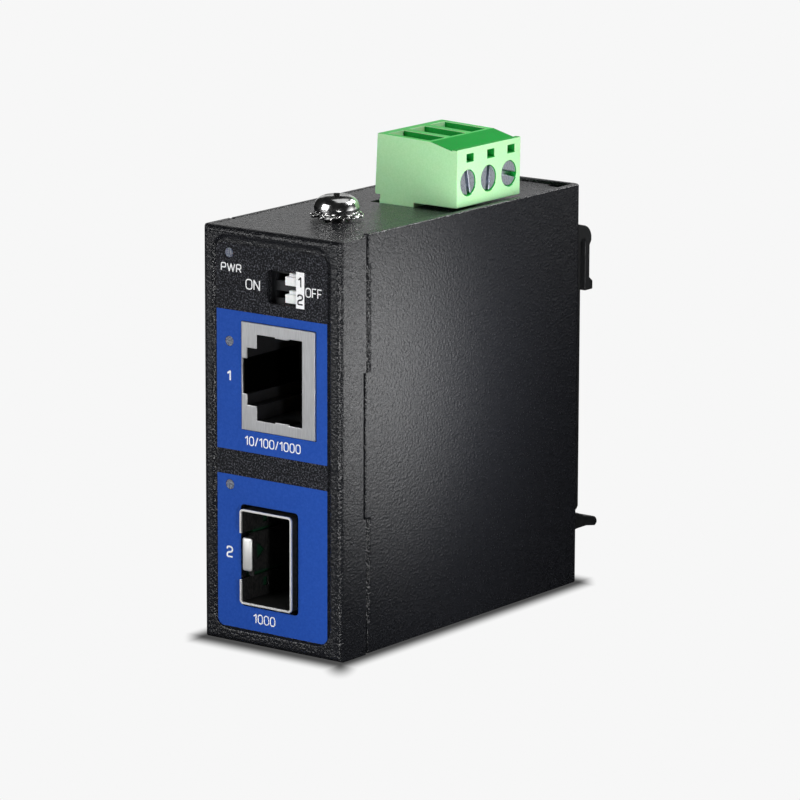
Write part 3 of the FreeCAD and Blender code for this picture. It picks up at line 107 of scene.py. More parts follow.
class LabelSettings(bpy.types.PropertyGroup):
    """Printed overlay with its lettering."""
    blue: StringProperty(
        name="Field colour", description="sRGB hex colour of the two port fields", default="#18469F")
    black: StringProperty(
        name="Ground colour", description="sRGB hex colour between the fields", default="#0E0F13")
    ink: StringProperty(
        name="Ink", description="sRGB hex colour of the lettering", default="#FCFCFD")
    lower: FloatVectorProperty(
        name="Lower field", description="Bottom and top of the lower field, in millimetres",
        size=2, default=(2.2, 24.9))
    upper: FloatVectorProperty(
        name="Upper field", description="Bottom and top of the upper field, in millimetres",
        size=2, default=(28.6, 49.05))
    ink_thick: FloatProperty(
        name="Ink thickness", description="How far the ink stands off the film", default=0.00001, **LENGTH)


class PlugSettings(bpy.types.PropertyGroup):
    """Moulded terminal plug with its clamping screws."""
    green: StringProperty(
        name="Green", description="sRGB hex colour of the moulding", default="#B0EBAD")
    # Painted shade: the darker green of the plug's slope and wells.
    shade_green: StringProperty(
        name="Deep green", description="sRGB hex colour of its polished slope and wells",
        default="#1C9A3B")
    edge: FloatProperty(
        name="Edge", description="Radius of a moulded edge", default=0.00012, **LENGTH)


class EarthSettings(bpy.types.PropertyGroup):
    """Pan-head earth screw on its toothed washer."""
    radius: FloatProperty(
        name="Head radius", description="Radius of the head", default=0.00333, **LENGTH)
    high: FloatProperty(
        name="Head height", description="Height of the head above its seat", default=0.0026, **LENGTH)
    fullness: FloatProperty(
        name="Fullness", description="How square the dome is; 2 is an ellipse", default=2.9, min=2.0)
    pitch: FloatProperty(
        name="Pitch", description="Rise of the thread in one turn", default=0.0007, **LENGTH)
    shank: FloatProperty(
        name="Shank radius", description="Radius at the thread's crest", default=0.00194, **LENGTH)
    long: FloatProperty(
        name="Shank length", description="Length under the head", default=0.007, **LENGTH)
    teeth: IntProperty(
        name="Teeth", description="Teeth round the washer", default=12, min=3)
    rim: FloatProperty(
        name="Washer rim", description="Radius of the washer's ring", default=0.0029, **LENGTH)
    reach: FloatProperty(
        name="Tooth reach", description="Radius at the tips of the teeth", default=0.00395, **LENGTH)
    wide: FloatProperty(
        name="Tooth width", description="Width of a tooth at its root", default=0.00125, **LENGTH)
    bore: FloatProperty(
        name="Washer bore", description="Radius of the washer's hole", default=0.0021, **LENGTH)
    thick: FloatProperty(
        name="Washer thickness", description="Thickness of the washer's sheet", default=0.0005, **LENGTH)
    twist: FloatProperty(
        name="Tooth twist", description="Lean of each tooth out of the ring",
        default=math.radians(20), subtype="ANGLE", unit="ROTATION")


class ClipSettings(bpy.types.PropertyGroup):
    """Moulded rail clip with its coil spring."""
    wire: FloatProperty(
        name="Wire", description="Radius of the spring's wire", default=0.0002, **LENGTH)
    turns: FloatProperty(
        name="Turns", description="Turns of the spring", default=6.5, min=1.0)
    edge: FloatProperty(
        name="Edge", description="Radius of a moulded edge", default=0.00015, **LENGTH)


class StageSettings(bpy.types.PropertyGroup):
    """Pale floor, lamps and camera."""
    floor: StringProperty(
        name="Floor colour", description="sRGB hex colour of the floor and the backdrop",
        default="#F7F7F7")
    side: FloatProperty(
        name="Side lamps", description="Strength of the lamps at the right", default=1.0, min=0.0)
    front: FloatProperty(
        name="Front lamps", description="Strength of the lamps at the front", default=1.0, min=0.0)
    top: FloatProperty(
        name="Top lamps", description="Strength of the lamps overhead and behind", default=1.0, min=0.0)
    lens: FloatProperty(
        name="Lens", description="Focal length on a 36 mm sensor, in millimetres", default=225.17)


GROUPS = {
    "converter_case": CaseSettings,
    "converter_label": LabelSettings,
    "converter_plug": PlugSettings,
    "converter_earth": EarthSettings,
    "converter_clip": ClipSettings,
    "converter_stage": StageSettings,
}


# Nodes

def linear(code):
    """An sRGB hex colour as linear red, green, blue and alpha."""
    parts = [int(code[i:i + 2], 16) / 255 for i in (1, 3, 5)]
    return [p / 12.92 if p <= 0.04045 else ((p + 0.055) / 1.055) ** 2.4 for p in parts] + [1.0]


def add(tree, kind, inputs=(), **settings):
    """Adds a node with its settings; an input takes a value, or a socket to link from."""
    node = tree.nodes.new(kind)
    for name, value in settings.items():
        setattr(node, name, value)
    for key, value in dict(inputs).items():
        if isinstance(value, bpy.types.NodeSocket):
            tree.links.new(value, node.inputs[key])
        else:
            node.inputs[key].default_value = value
    return node


def begin(name, **sockets):
    """A new material: itself, its tree, its shader and a point's place in millimetres."""
    made = bpy.data.materials.new(name)
    made.use_nodes = True
    tree = made.node_tree
    tree.nodes.clear()
    values = {key.replace("_", " "): value for key, value in sockets.items()}
    shader = add(tree, "ShaderNodeBsdfPrincipled", values)
    add(tree, "ShaderNodeOutputMaterial", {"Surface": shader.outputs[0]})
    place = add(tree, "ShaderNodeTexCoord").outputs["Object"]
    mm = add(tree, "ShaderNodeMapping", {"Vector": place, "Scale": (1000, 1000, 1000)}).outputs[0]
    return made, tree, shader, mm


def grain(tree, mm, size, detail=2.0, stretch=(1, 1, 1)):
    """A soft pattern with lumps size millimetres wide, drawn out where the stretch is small."""
    scaled = add(tree, "ShaderNodeMapping", {"Vector": mm, "Scale": stretch}).outputs[0]
    lumps = add(tree, "ShaderNodeTexNoise", {"Vector": scaled, "Scale": 1 / size, "Detail": detail})
    return lumps.outputs[0]


def shades(tree, value, first, second, low=0.35, high=0.65):
    """Colours from first to second, hex codes or sockets, as the value goes from low to high."""
    share = add(tree, "ShaderNodeMapRange", {"Value": value, "From Min": low, "From Max": high})
    ends = [linear(end) if isinstance(end, str) else end for end in (first, second)]
    sockets = {0: share.outputs[0], 6: ends[0], 7: ends[1]}  # 6 and 7 are the node's two colours
    return add(tree, "ShaderNodeMix", sockets, data_type="RGBA").outputs[2]


def surface(tree, shader, tone, dullness=None, relief=None):
    """Gives the shader its colour, its roughness as a pattern with the lowest and highest values,
    and its relief as a pattern with a depth in millimetres."""
    tree.links.new(tone, shader.inputs["Base Color"])
    if dullness:
        pattern, low, high = dullness
        sockets = {"Value": pattern, "From Min": 0.3, "From Max": 0.7, "To Min": low, "To Max": high}
        tree.links.new(add(tree, "ShaderNodeMapRange", sockets).outputs[0], shader.inputs["Roughness"])
    if relief:
        pattern, depth = relief
        bump = add(tree, "ShaderNodeBump", {"Height": pattern, "Distance": depth * MM, "Strength": 1.0})
        tree.links.new(bump.outputs[0], shader.inputs["Normal"])


# Finishes

# Places along y, in millimetres, between which a bright face gives way to a dark inside painted as shade.
SHIELD_FACE_ENDS = (-29.3, -29.1)
CAGE_RIM_ENDS = (-30.1, -29.9)

MADE = {}


def finish(name):
    """The material of that name, made once."""
    if name not in MADE:
        MADE[name] = FINISHES[name](name)
    return MADE[name]


def metal(name, dark, light, roughness, size, detail=2.0, stretch=(1, 1, 1), depth=0.0, metallic=1.0):
    """A metal: two close shades and the marks of its making, which also dull it in places."""
    made, tree, shader, mm = begin(name, Metallic=metallic)
    marks = grain(tree, mm, size, detail, stretch)
    relief = (marks, depth) if depth else None
    surface(tree, shader, shades(tree, marks, dark, light), (marks, *roughness), relief)
    return made


def moulded(name, dark, light, roughness, size, depth, specular=0.5, subsurface=0.0):
    """A moulded plastic: two close shades and the tool's spark-eroded texture."""
    made, tree, shader, mm = begin(
        name, Specular_IOR_Level=specular, Subsurface_Weight=subsurface, Subsurface_Scale=0.0012)
    texture = grain(tree, mm, size)
    dullness = (texture, roughness - 0.05, roughness + 0.07)
    surface(tree, shader, shades(tree, texture, dark, light), dullness, (texture, depth))
    return made


def powder_coat(name):
    # Polyester powder coat, sprayed dry and baked over folded steel: a lumpy leather
    # grain, about 0.4 mm across, that breaks each highlight into specks.
    case = bpy.context.scene.converter_case
    made, tree, shader, mm = begin(name, Specular_IOR_Level=0.5)
    lumps = grain(tree, mm, case.grain, 1.0)
    fine = grain(tree, mm, case.grain / 3, 1.0)
    faint = add(tree, "ShaderNodeMath", {0: fine, 1: 0.35}, operation="MULTIPLY").outputs[0]
    height = add(tree, "ShaderNodeMath", {0: lumps, 1: faint}, operation="ADD").outputs[0]
    tone = shades(tree, fine, case.coat, "#202124", 0.3, 0.7)
    surface(tree, shader, tone, (lumps, 0.17, 0.28), (height, 0.14))
    return made


def polyester_film(name):
    # Polyester overlay, screen-printed from behind: flat blue fields on a black ground, with lighter specks
    # painted into the ground for the glints of its velvet texture. They are drawn coarser than the real
    # ones, to show.
    label = bpy.context.scene.converter_label
    made, tree, shader, mm = begin(name, Roughness=0.55, Specular_IOR_Level=0.15)
    level = add(tree, "ShaderNodeSeparateXYZ", {0: mm}).outputs["Z"]
    fields = []
    for low, high in (label.lower, label.upper):
        span = {0: level, 1: (low + high) / 2, 2: (high - low) / 2}
        fields.append(add(tree, "ShaderNodeMath", span, operation="COMPARE").outputs[0])
    either = add(tree, "ShaderNodeMath", {0: fields[0], 1: fields[1]}, operation="ADD").outputs[0]
    normal = add(tree, "ShaderNodeNewGeometry").outputs["Normal"]
    facing = add(tree, "ShaderNodeSeparateXYZ", {0: normal}).outputs["Y"]
    face = add(tree, "ShaderNodeMath", {0: facing, 1: -0.5}, operation="LESS_THAN").outputs[0]
    field = add(tree, "ShaderNodeMath", {0: either, 1: face}, operation="MULTIPLY").outputs[0]
    specks = grain(tree, mm, 0.24, 1.0)
    # The ground's lighter specks are painted glints.
    ground = shades(tree, specks, label.black, "#62646C", 0.5, 0.8)
    blue = shades(tree, grain(tree, mm, 0.3, 1.0), label.blue, "#214FAA", 0.3, 0.8)
    surface(tree, shader, shades(tree, field, ground, blue, 0.0, 1.0), relief=(specks, 0.012))
    return made


def screen_ink(name):
    # White screen-printing ink: flat, opaque and slightly dull.
    made, tree, shader, mm = begin(name, Roughness=0.55, Specular_IOR_Level=0.3)
    ink = bpy.context.scene.converter_label.ink
    surface(tree, shader, shades(tree, grain(tree, mm, 0.25), "#F0F1F2", ink))
    return made


def black_ink(name):
    # Black screen-printing ink for the switch numbers: flat and slightly dull on its white strip.
    made, tree, shader, mm = begin(name, Roughness=0.55, Specular_IOR_Level=0.3)
    surface(tree, shader, shades(tree, grain(tree, mm, 0.25), "#101114", "#1C1D20"))
    return made


def nickel_sheet(name):
    # Nickel-plated steel strip, rolled and stamped: satin, with faint rolling lines; inside the jack it is
    # painted near-black as shade.
    made, tree, shader, mm = begin(name, Metallic=1.0)
    lines = grain(tree, mm, 0.12, 2.0, (1, 1, 0.06))
    inward = add(tree, "ShaderNodeSeparateXYZ", {0: mm}).outputs["Y"]
    face = shades(tree, lines, "#C6C7C9", "#D6D7D9")
    # Painted shade: near-black past the shield's face, inside the jack.
    tone = shades(tree, inward, face, "#151515", *SHIELD_FACE_ENDS)
    surface(tree, shader, tone, (lines, 0.4, 0.52), (lines, 0.003))
    return made


def cage_nickel(name):
    # Nickel-plated spring steel of the module cage: near-white on the sheared rim at the front, a painted
    # highlight, and painted a dark satin further in as shade.
    made, tree, shader, mm = begin(name, Metallic=0.7)
    lines = grain(tree, mm, 0.15, 2.0, (1, 1, 0.3))
    inward = add(tree, "ShaderNodeSeparateXYZ", {0: mm}).outputs["Y"]
    shaded_inside = shades(tree, lines, "#2B2B2B", "#4A4A49")
    # Painted highlight on the front rim and the lip's front, painted shade inside the cage.
    tone = shades(tree, inward, "#FCFCFA", shaded_inside, *CAGE_RIM_ENDS)
    surface(tree, shader, tone, (lines, 0.38, 0.5), (lines, 0.003))
    return made


def bright_nickel(name):
    # Bright nickel over cold-headed steel: mirror-like, with the faintest ripple.
    return metal(name, "#DCDCDB", "#EDEDEC", (0.13, 0.22), 0.9, depth=0.006)


def zinc_plate(name):
    # Zinc with a clear blue passivation over turned steel: cool grey, with turning rings.
    return metal(name, "#A9B0BE", "#D3D7DF", (0.24, 0.44), 0.16, 3.0, (1, 1, 0.35), 0.012)


def black_zinc(name):
    # Black zinc on small steel screws: dark, with a slightly oily sheen.
    return metal(name, "#1B1C1E", "#2B2C2F", (0.32, 0.5), 0.5, metallic=0.6)


def spring_wire(name):
    # Music wire, drawn and oiled: grey with fine lines along it.
    return metal(name, "#7C7E82", "#A4A6AA", (0.24, 0.4), 0.1, 2.0, (1, 1, 0.4))


def gold_plate(name):
    # Thin gold, plated over nickel on phosphor bronze: warm and satin.
    return metal(name, "#D9A94A", "#EBC46C", (0.22, 0.36), 0.4)


def tin_plate(name):
    # Matt tin, plated over copper alloy: soft grey with a crystalline mottle.
    return metal(name, "#B4B4B1", "#CFCFCC", (0.35, 0.5), 0.3)


def turned_brass(name):
    # Free-cutting brass bar, turned to length: yellow with fine rings.
    return metal(name, "#C29A4B", "#D9B466", (0.24, 0.38), 0.15, 2.0, (1, 0.1, 0.1))


def drawn_aluminium(name):
    # Deep-drawn aluminium can: pale, with faint drawing lines.
    return metal(name, "#C3C5C9", "#D8DADD", (0.24, 0.36), 0.1, 2.0, (0.1, 1, 1))


def glass_filled_nylon(name):
    # Glass-filled polyamide, injection moulded: dark grey with a dry, slightly scuffed skin.
    return moulded(name, "#131415", "#1E2022", 0.5, 0.35, 0.02)


def black_thermoplastic(name):
    # Black liquid-crystal polymer of the jack and the sockets, moulded: matt and nearly light-proof.
    return moulded(name, "#17181A", "#232427", 0.4, 0.3, 0.01)


def white_thermoplastic(name):
    # White polyamide of the switch knobs, moulded: clean and a little waxy.
    return moulded(name, "#EFF0F0", "#F8F8F8", 0.4, 0.3, 0.006, 0.5, 0.1)


def green_nylon(name):
    # Polyamide, moulded in a spark-eroded tool: its own pale green, on the faces that take no painted shade
    # or light.
    green = bpy.context.scene.converter_plug.green
    return moulded(name, green, "#BAF0B7", 0.45, 0.22, 0.008, 0.5, 0.15)


def shaded_green_nylon(name):
    # The same polyamide, painted a darker, deeper green on the slope and in the wells as shade.
    shade_green = bpy.context.scene.converter_plug.shade_green
    return moulded(name, shade_green, "#22A643", 0.45, 0.3, 0.003, 0.08, 0.1)


def glowing_green_nylon(name):
    # The same polyamide on the thin walls between the wells, painted a saturated green for the light that
    # passes into them.
    return moulded(name, "#52CC62", "#60D870", 0.4, 0.3, 0.005, 0.15, 0.15)


def lamp_resin(name):
    # Epoxy cast round a lamp chip: cloudy white.
    return moulded(name, "#DCDCD2", "#ECECE4", 0.3, 0.5, 0.004, 0.5, 0.3)


def chip_epoxy(name):
    # Black epoxy moulded round a chip: dull, with a fine sandy skin.
    return moulded(name, "#17181A", "#232427", 0.55, 0.12, 0.006)


def fired_ceramic(name):
    # Fired barium titanate with dipped ends: tan and fine-grained.
    return moulded(name, "#93734A", "#A98A5E", 0.4, 0.15, 0.004)


def frosted_polycarbonate(name):
    # Polycarbonate light pipes, moulded with frosted ends: grey, with coarse specks.
    made, tree, shader, mm = begin(
        name, Roughness=0.35, Specular_IOR_Level=0.5, Subsurface_Weight=0.2, Subsurface_Scale=0.0005)
    specks = grain(tree, mm, 0.22, 1.0)
    surface(tree, shader, shades(tree, specks, "#3E4A63", "#8B8F98", 0.4, 0.62), relief=(specks, 0.03))
    return made


def solder_mask(name):
    # Glass-epoxy board under green solder mask: the weave shows as a fine square pattern.
    made, tree, shader, mm = begin(name, Roughness=0.35)
    threads = []
    for way in ("Y", "Z"):
        sockets = {"Vector": mm, "Scale": 0.7, "Distortion": 0.4}
        threads.append(add(tree, "ShaderNodeTexWave", sockets, bands_direction=way).outputs[1])
    weave = add(tree, "ShaderNodeMath", {0: threads[0], 1: threads[1]}, operation="MULTIPLY").outputs[0]
    surface(tree, shader, shades(tree, weave, "#0B2E1B", "#12402A"), relief=(weave, 0.004))
    return made


FINISHES = {make.__name__: make for make in (
    powder_coat, polyester_film, screen_ink, black_ink, nickel_sheet, cage_nickel, bright_nickel,
    zinc_plate, black_zinc, spring_wire, gold_plate, tin_plate, turned_brass, drawn_aluminium,
    glass_filled_nylon, black_thermoplastic, white_thermoplastic, green_nylon, shaded_green_nylon,
    glowing_green_nylon, lamp_resin, chip_epoxy, fired_ceramic, frosted_polycarbonate, solder_mask)}


def paint(finish_name, *names):
    """Gives solids of the frame their finish."""
    for name in names:
        mesh = NODES[name].data
        mesh.materials.clear()
        mesh.materials.append(finish(finish_name))


# Meshes

# The distance within which points are one, the turn under which faces are one flat, the turn over
# which an edge is eased, and the share of an edge's radius past which a point has strayed.
SAME_POINT = 2e-6
STRAIGHT = math.radians(0.6)
SHARP = math.radians(35)
STRAY = 1.2


def shown(name, mesh, body, slot, *finishes):
    """A finished piece from a mesh that is already in its place."""
    piece = carrier(name, mesh)
    while len(mesh.materials) < len(finishes):
        mesh.materials.append(None)
    for k, finish_name in enumerate(finishes):
        mesh.materials[k] = finish(finish_name)
    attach(piece, body)
    return piece


def carrier(name, data):
    """An object in the scene that holds a mesh or a curve."""
    piece = bpy.data.objects.new(name, data)
    bpy.context.collection.objects.link(piece)
    return piece


def evaluated(piece):
    """The piece's mesh with its modifiers applied; the piece itself is removed."""
    whole = bpy.context.evaluated_depsgraph_get()
    mesh = bpy.data.meshes.new_from_object(piece.evaluated_get(whole), depsgraph=whole)
    bpy.data.objects.remove(piece)
    return mesh


def mesh_of(bm, name):
    """The mesh that a bmesh holds; the bmesh is freed."""
    mesh = bpy.data.meshes.new(name)
    bm.to_mesh(mesh)
    bm.free()
    return mesh


def joined(name, parts):
    """One mesh from meshes with a material index each."""
    bm = bmesh.new()
    for mesh, index in parts:
        start = len(bm.faces)
        bm.from_mesh(mesh)
        bm.faces.ensure_lookup_table()
        for face in bm.faces[start:]:
            face.material_index = index
        bpy.data.meshes.remove(mesh)
    return mesh_of(bm, name)


def smooth(mesh, sharp):
    """Shades a mesh smooth, apart from the edges that turn by more than sharp."""
    bm = bmesh.new()
    bm.from_mesh(mesh)
    for face in bm.faces:
        face.smooth = True
    for edge in bm.edges:
        edge.smooth = edge.calc_face_angle(math.pi) < sharp
    bm.to_mesh(mesh)
    bm.free()


def middle(node):
    """The centre of a solid's box."""
    low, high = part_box(node)
    return (low + high) / 2


def within(point, low, high):
    """Whether a point lies between two corners given in millimetres."""
    return all(a * MM <= value <= b * MM for value, a, b in zip(point, low, high))


def eased(node, radius, hidden=None, levelled=None, bend=None):
    """A solid's mesh, merged, with its sharp edges rounded, apart from those in the hidden box;
    the levelled box's points go to the height given with it, and edges in the bend's box take
    the larger radius given with that."""
    widest = bend[2] if bend else radius
    mesh = NODES[node].data.copy()
    bm = bmesh.new()
    bm.from_mesh(mesh)
    bmesh.ops.remove_doubles(bm, verts=bm.verts, dist=SAME_POINT)
    for v in bm.verts:
        if levelled and within(v.co, *levelled[:2]):
            v.co.z = levelled[2] * MM
    solid = BVHTree.FromBMesh(bm)
    bmesh.ops.dissolve_limit(bm, angle_limit=STRAIGHT, verts=bm.verts, edges=bm.edges)
    weight = bm.edges.layers.float.new("bevel_weight_edge")
    for face in bm.faces:
        face.smooth = True
    for edge in bm.edges:
        covered = hidden and all(within(v.co, *hidden) for v in edge.verts)
        sharp = edge.calc_face_angle(0.0) > SHARP
        folded = bend and all(within(v.co, *bend[:2]) for v in edge.verts)
        edge[weight] = float(sharp and not covered) * (1.0 if folded else radius / widest)
        edge.smooth = not (sharp and covered)
    bm.to_mesh(mesh)
    bm.free()
    piece = carrier(node + "_easing", mesh)
    bevel = piece.modifiers.new("edge", "BEVEL")
    bevel.width = widest
    bevel.segments = 2
    bevel.limit_method = "WEIGHT"
    bevel.use_clamp_overlap = False
    flats = piece.modifiers.new("flats", "WEIGHTED_NORMAL")
    flats.keep_sharp = True
    mesh = evaluated(piece)
    low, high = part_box(node)
    for v in mesh.vertices:
        nearest, _, _, distance = solid.find_nearest(v.co)
        if distance > STRAY * widest:
            v.co = nearest
        v.co = [min(max(a, value), b) for a, value, b in zip(low, v.co, high)]
    return mesh


def ease(node, piece_name, radius, slot, finish_name, **boxes):
    """Stands an edge-rounded piece in a solid's place."""
    body = body_of(NODES[node])[0]
    piece = shown(piece_name, eased(node, radius, **boxes), body, slot, finish_name)
    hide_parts(node)
    return piece


def turned(profile, steps=64):
    """A closed solid of revolution about z, from pairs of radius and height."""
    bm = bmesh.new()
    verts = [bm.verts.new((r, 0, z)) for r, z in profile]
    edges = [bm.edges.new(pair) for pair in zip(verts, verts[1:])]
    bmesh.ops.spin(bm, geom=verts + edges, cent=(0, 0, 0), axis=(0, 0, 1), angle=2 * math.pi, steps=steps)
    bmesh.ops.remove_doubles(bm, verts=bm.verts, dist=1e-6)
    bmesh.ops.recalc_face_normals(bm, faces=bm.faces)
    return mesh_of(bm, "turned")


# Lettering

# Each letter's width, then its strokes: closed or not, the corner's radius, and the points;
# all as shares of the height.
ROUND = 0.3
LETTERS = {
    "0": (0.58, [(True, ROUND, [(0, 0), (0, 1), (0.58, 1), (0.58, 0)])]),
    "O": (0.72, [(True, ROUND, [(0, 0), (0, 1), (0.72, 1), (0.72, 0)])]),
    "1": (0.34, [(False, 0.03, [(0, 0.74), (0.3, 1), (0.3, 0)])]),
    "2": (0.6, [(False, ROUND, [(0, 0.76), (0, 1), (0.6, 1), (0.6, 0.5), (0, 0.42), (0, 0)]),
                (False, 0.0, [(0, 0), (0.62, 0)])]),
    "/": (0.34, [(False, 0.0, [(0, 0), (0.34, 1)])]),
    "N": (0.66, [(False, 0.04, [(0, 0), (0, 1), (0.66, 0), (0.66, 1)])]),
    "F": (0.55, [(False, 0.0, [(0, 0), (0, 1), (0.55, 1)]), (False, 0.0, [(0, 0.5), (0.5, 0.5)])]),
    "P": (0.6, [(False, 0.2, [(0, 0), (0, 1), (0.6, 1), (0.6, 0.44), (0, 0.44)])]),
    "R": (0.62, [(False, 0.2, [(0, 0), (0, 1), (0.6, 1), (0.6, 0.44), (0, 0.44)]),
                 (False, 0.0, [(0.34, 0.44), (0.62, 0)])]),
    "W": (1.0, [(False, 0.06, [(0, 1), (0.25, 0), (0.5, 1), (0.75, 0), (1, 1)])]),
}
LETTER_GAP = 0.24
CORNER_SHARE = 0.48

# Words with their left and right ends, middle level, height and stroke, in millimetres.
WHITE_WORDS = (
    ("PWR", -9.1, -5.5, 55.2, 1.3, 0.2),
    ("ON", -4.6, -2.15, 53.15, 1.6, 0.21),
    ("OFF", 6.2, 9.0, 53.2, 1.45, 0.2),
    ("1", -8.05, -7.5, 39.4, 1.62, 0.3),
    ("2", -8.25, -7.3, 13.4, 1.75, 0.28),
    ("10/100/1000", -4.85, 5.15, 30.3, 1.45, 0.2),
    ("1000", -3.4, 0.45, 4.15, 1.5, 0.2),
)
BLACK_DIGITS = (("1", 4.9, 5.35, 54.5, 1.6, 0.24), ("2", 4.8, 5.6, 52.0, 1.6, 0.24))
STRIP_LOW = (4.44, 50.7)
STRIP_HIGH = (5.93, 55.95)


def rounded(points, radius, closed):
    """A stroke's points with its corners rounded."""
    result = []
    count = len(points)
    for k, here in enumerate(points):
        if not closed and k in (0, count - 1):
            result.append(here)
            continue
        ends = [points[k - 1], points[(k + 1) % count]]
        steps = [(end - here).normalized() * min(radius, (end - here).length * CORNER_SHARE) for end in ends]
        for share in (0.0, 0.25, 0.5, 0.75, 1.0):
            result.append(here + steps[0] * (1 - share) ** 2 + steps[1] * share ** 2)
    return result


def word(text, left, right, level, high, weight, front):
    """Square-shouldered lettering on the front, as wide as from left to right, in millimetres."""
    start = 0.0
    shifts = []
    for letter in text:
        shifts.append(start)
        start += LETTERS[letter][0] + LETTER_GAP
    scale = (right - left) / (start - LETTER_GAP)
    curve = bpy.data.curves.new("word", "CURVE")
    curve.dimensions = "3D"
    curve.bevel_depth = weight / 2
    curve.bevel_resolution = 1
    curve.use_fill_caps = True
    for letter, shift in zip(text, shifts):
        for closed, corner, stroke in LETTERS[letter][1]:
            points = [Vector((left + (shift + x) * scale, level + (z - 0.5) * (high - weight)))
                      for x, z in stroke]
            points = rounded(points, corner * high, closed)
            spline = curve.splines.new("POLY")
            spline.points.add(len(points) - 1)
            spline.use_cyclic_u = closed
            for point, (x, z) in zip(spline.points, points):
                point.co = (x, 0, z, 1)
    mesh = evaluated(carrier("word", curve))
    thin = bpy.context.scene.converter_label.ink_thick / MM / (weight / 2)
    for v in mesh.vertices:
        v.co = Vector((v.co.x, front + v.co.y * thin, v.co.z)) * MM
    return mesh


def number_strip(front):
    """The white field behind the switch numbers."""
    (left, bottom), (right, top) = STRIP_LOW, STRIP_HIGH
    bm = bmesh.new()
    corners = [(left, bottom), (right, bottom), (right, top), (left, top)]
    bm.faces.new([bm.verts.new(Vector((x, front, z)) * MM) for x, z in corners])
    return mesh_of(bm, "strip")


# Geometry trees

def growth(name, **sizes):
    """A geometry tree with named inputs; returns it with the inputs' sockets."""
    tree = bpy.data.node_groups.new(name, "GeometryNodeTree")
    tree.interface.new_socket("Geometry", in_out="OUTPUT", socket_type="NodeSocketGeometry")
    for label, value in sizes.items():
        kind = "NodeSocketInt" if isinstance(value, int) else "NodeSocketFloat"
        socket = tree.interface.new_socket(label, in_out="INPUT", socket_type=kind)
        socket.default_value = value
    return tree, add(tree, "NodeGroupInput").outputs


def grown(name, tree, last, finish_name, **sizes):
    """Ends a geometry tree with its material, runs it and returns the plain mesh."""
    real = add(tree, "GeometryNodeRealizeInstances", {0: last}).outputs[0]
    coloured = add(tree, "GeometryNodeSetMaterial", {0: real, "Material": finish(finish_name)}).outputs[0]
    add(tree, "NodeGroupOutput", {0: coloured})
    piece = carrier(name, bpy.data.meshes.new(name))
    modifier = piece.modifiers.new("growth", "NODES")
    modifier.node_group = tree
    for item in tree.interface.items_tree:
        if item.in_out == "INPUT":
            modifier[item.identifier] = sizes[item.name]
    return evaluated(piece)


def coil_tree(name):
    """Round wire along a helix."""
    tree, size = growth(name, Radius=0.001, Wire=0.0002, Height=0.01, Turns=5.0, Steps=32, Sides=10)
    spiral = add(tree, "GeometryNodeCurveSpiral", {
        "Resolution": size["Steps"], "Rotations": size["Turns"], "Start Radius": size["Radius"],
        "End Radius": size["Radius"], "Height": size["Height"]}).outputs[0]
    section = add(tree, "GeometryNodeCurvePrimitiveCircle", {
        "Resolution": size["Sides"], "Radius": size["Wire"]}, mode="RADIUS").outputs[0]
    wire = add(tree, "GeometryNodeCurveToMesh", {0: spiral, 1: section, "Fill Caps": True})
    return tree, wire.outputs[0]


TOOTH_ROOT = 0.00035  # how far a tooth starts inside the ring's rim


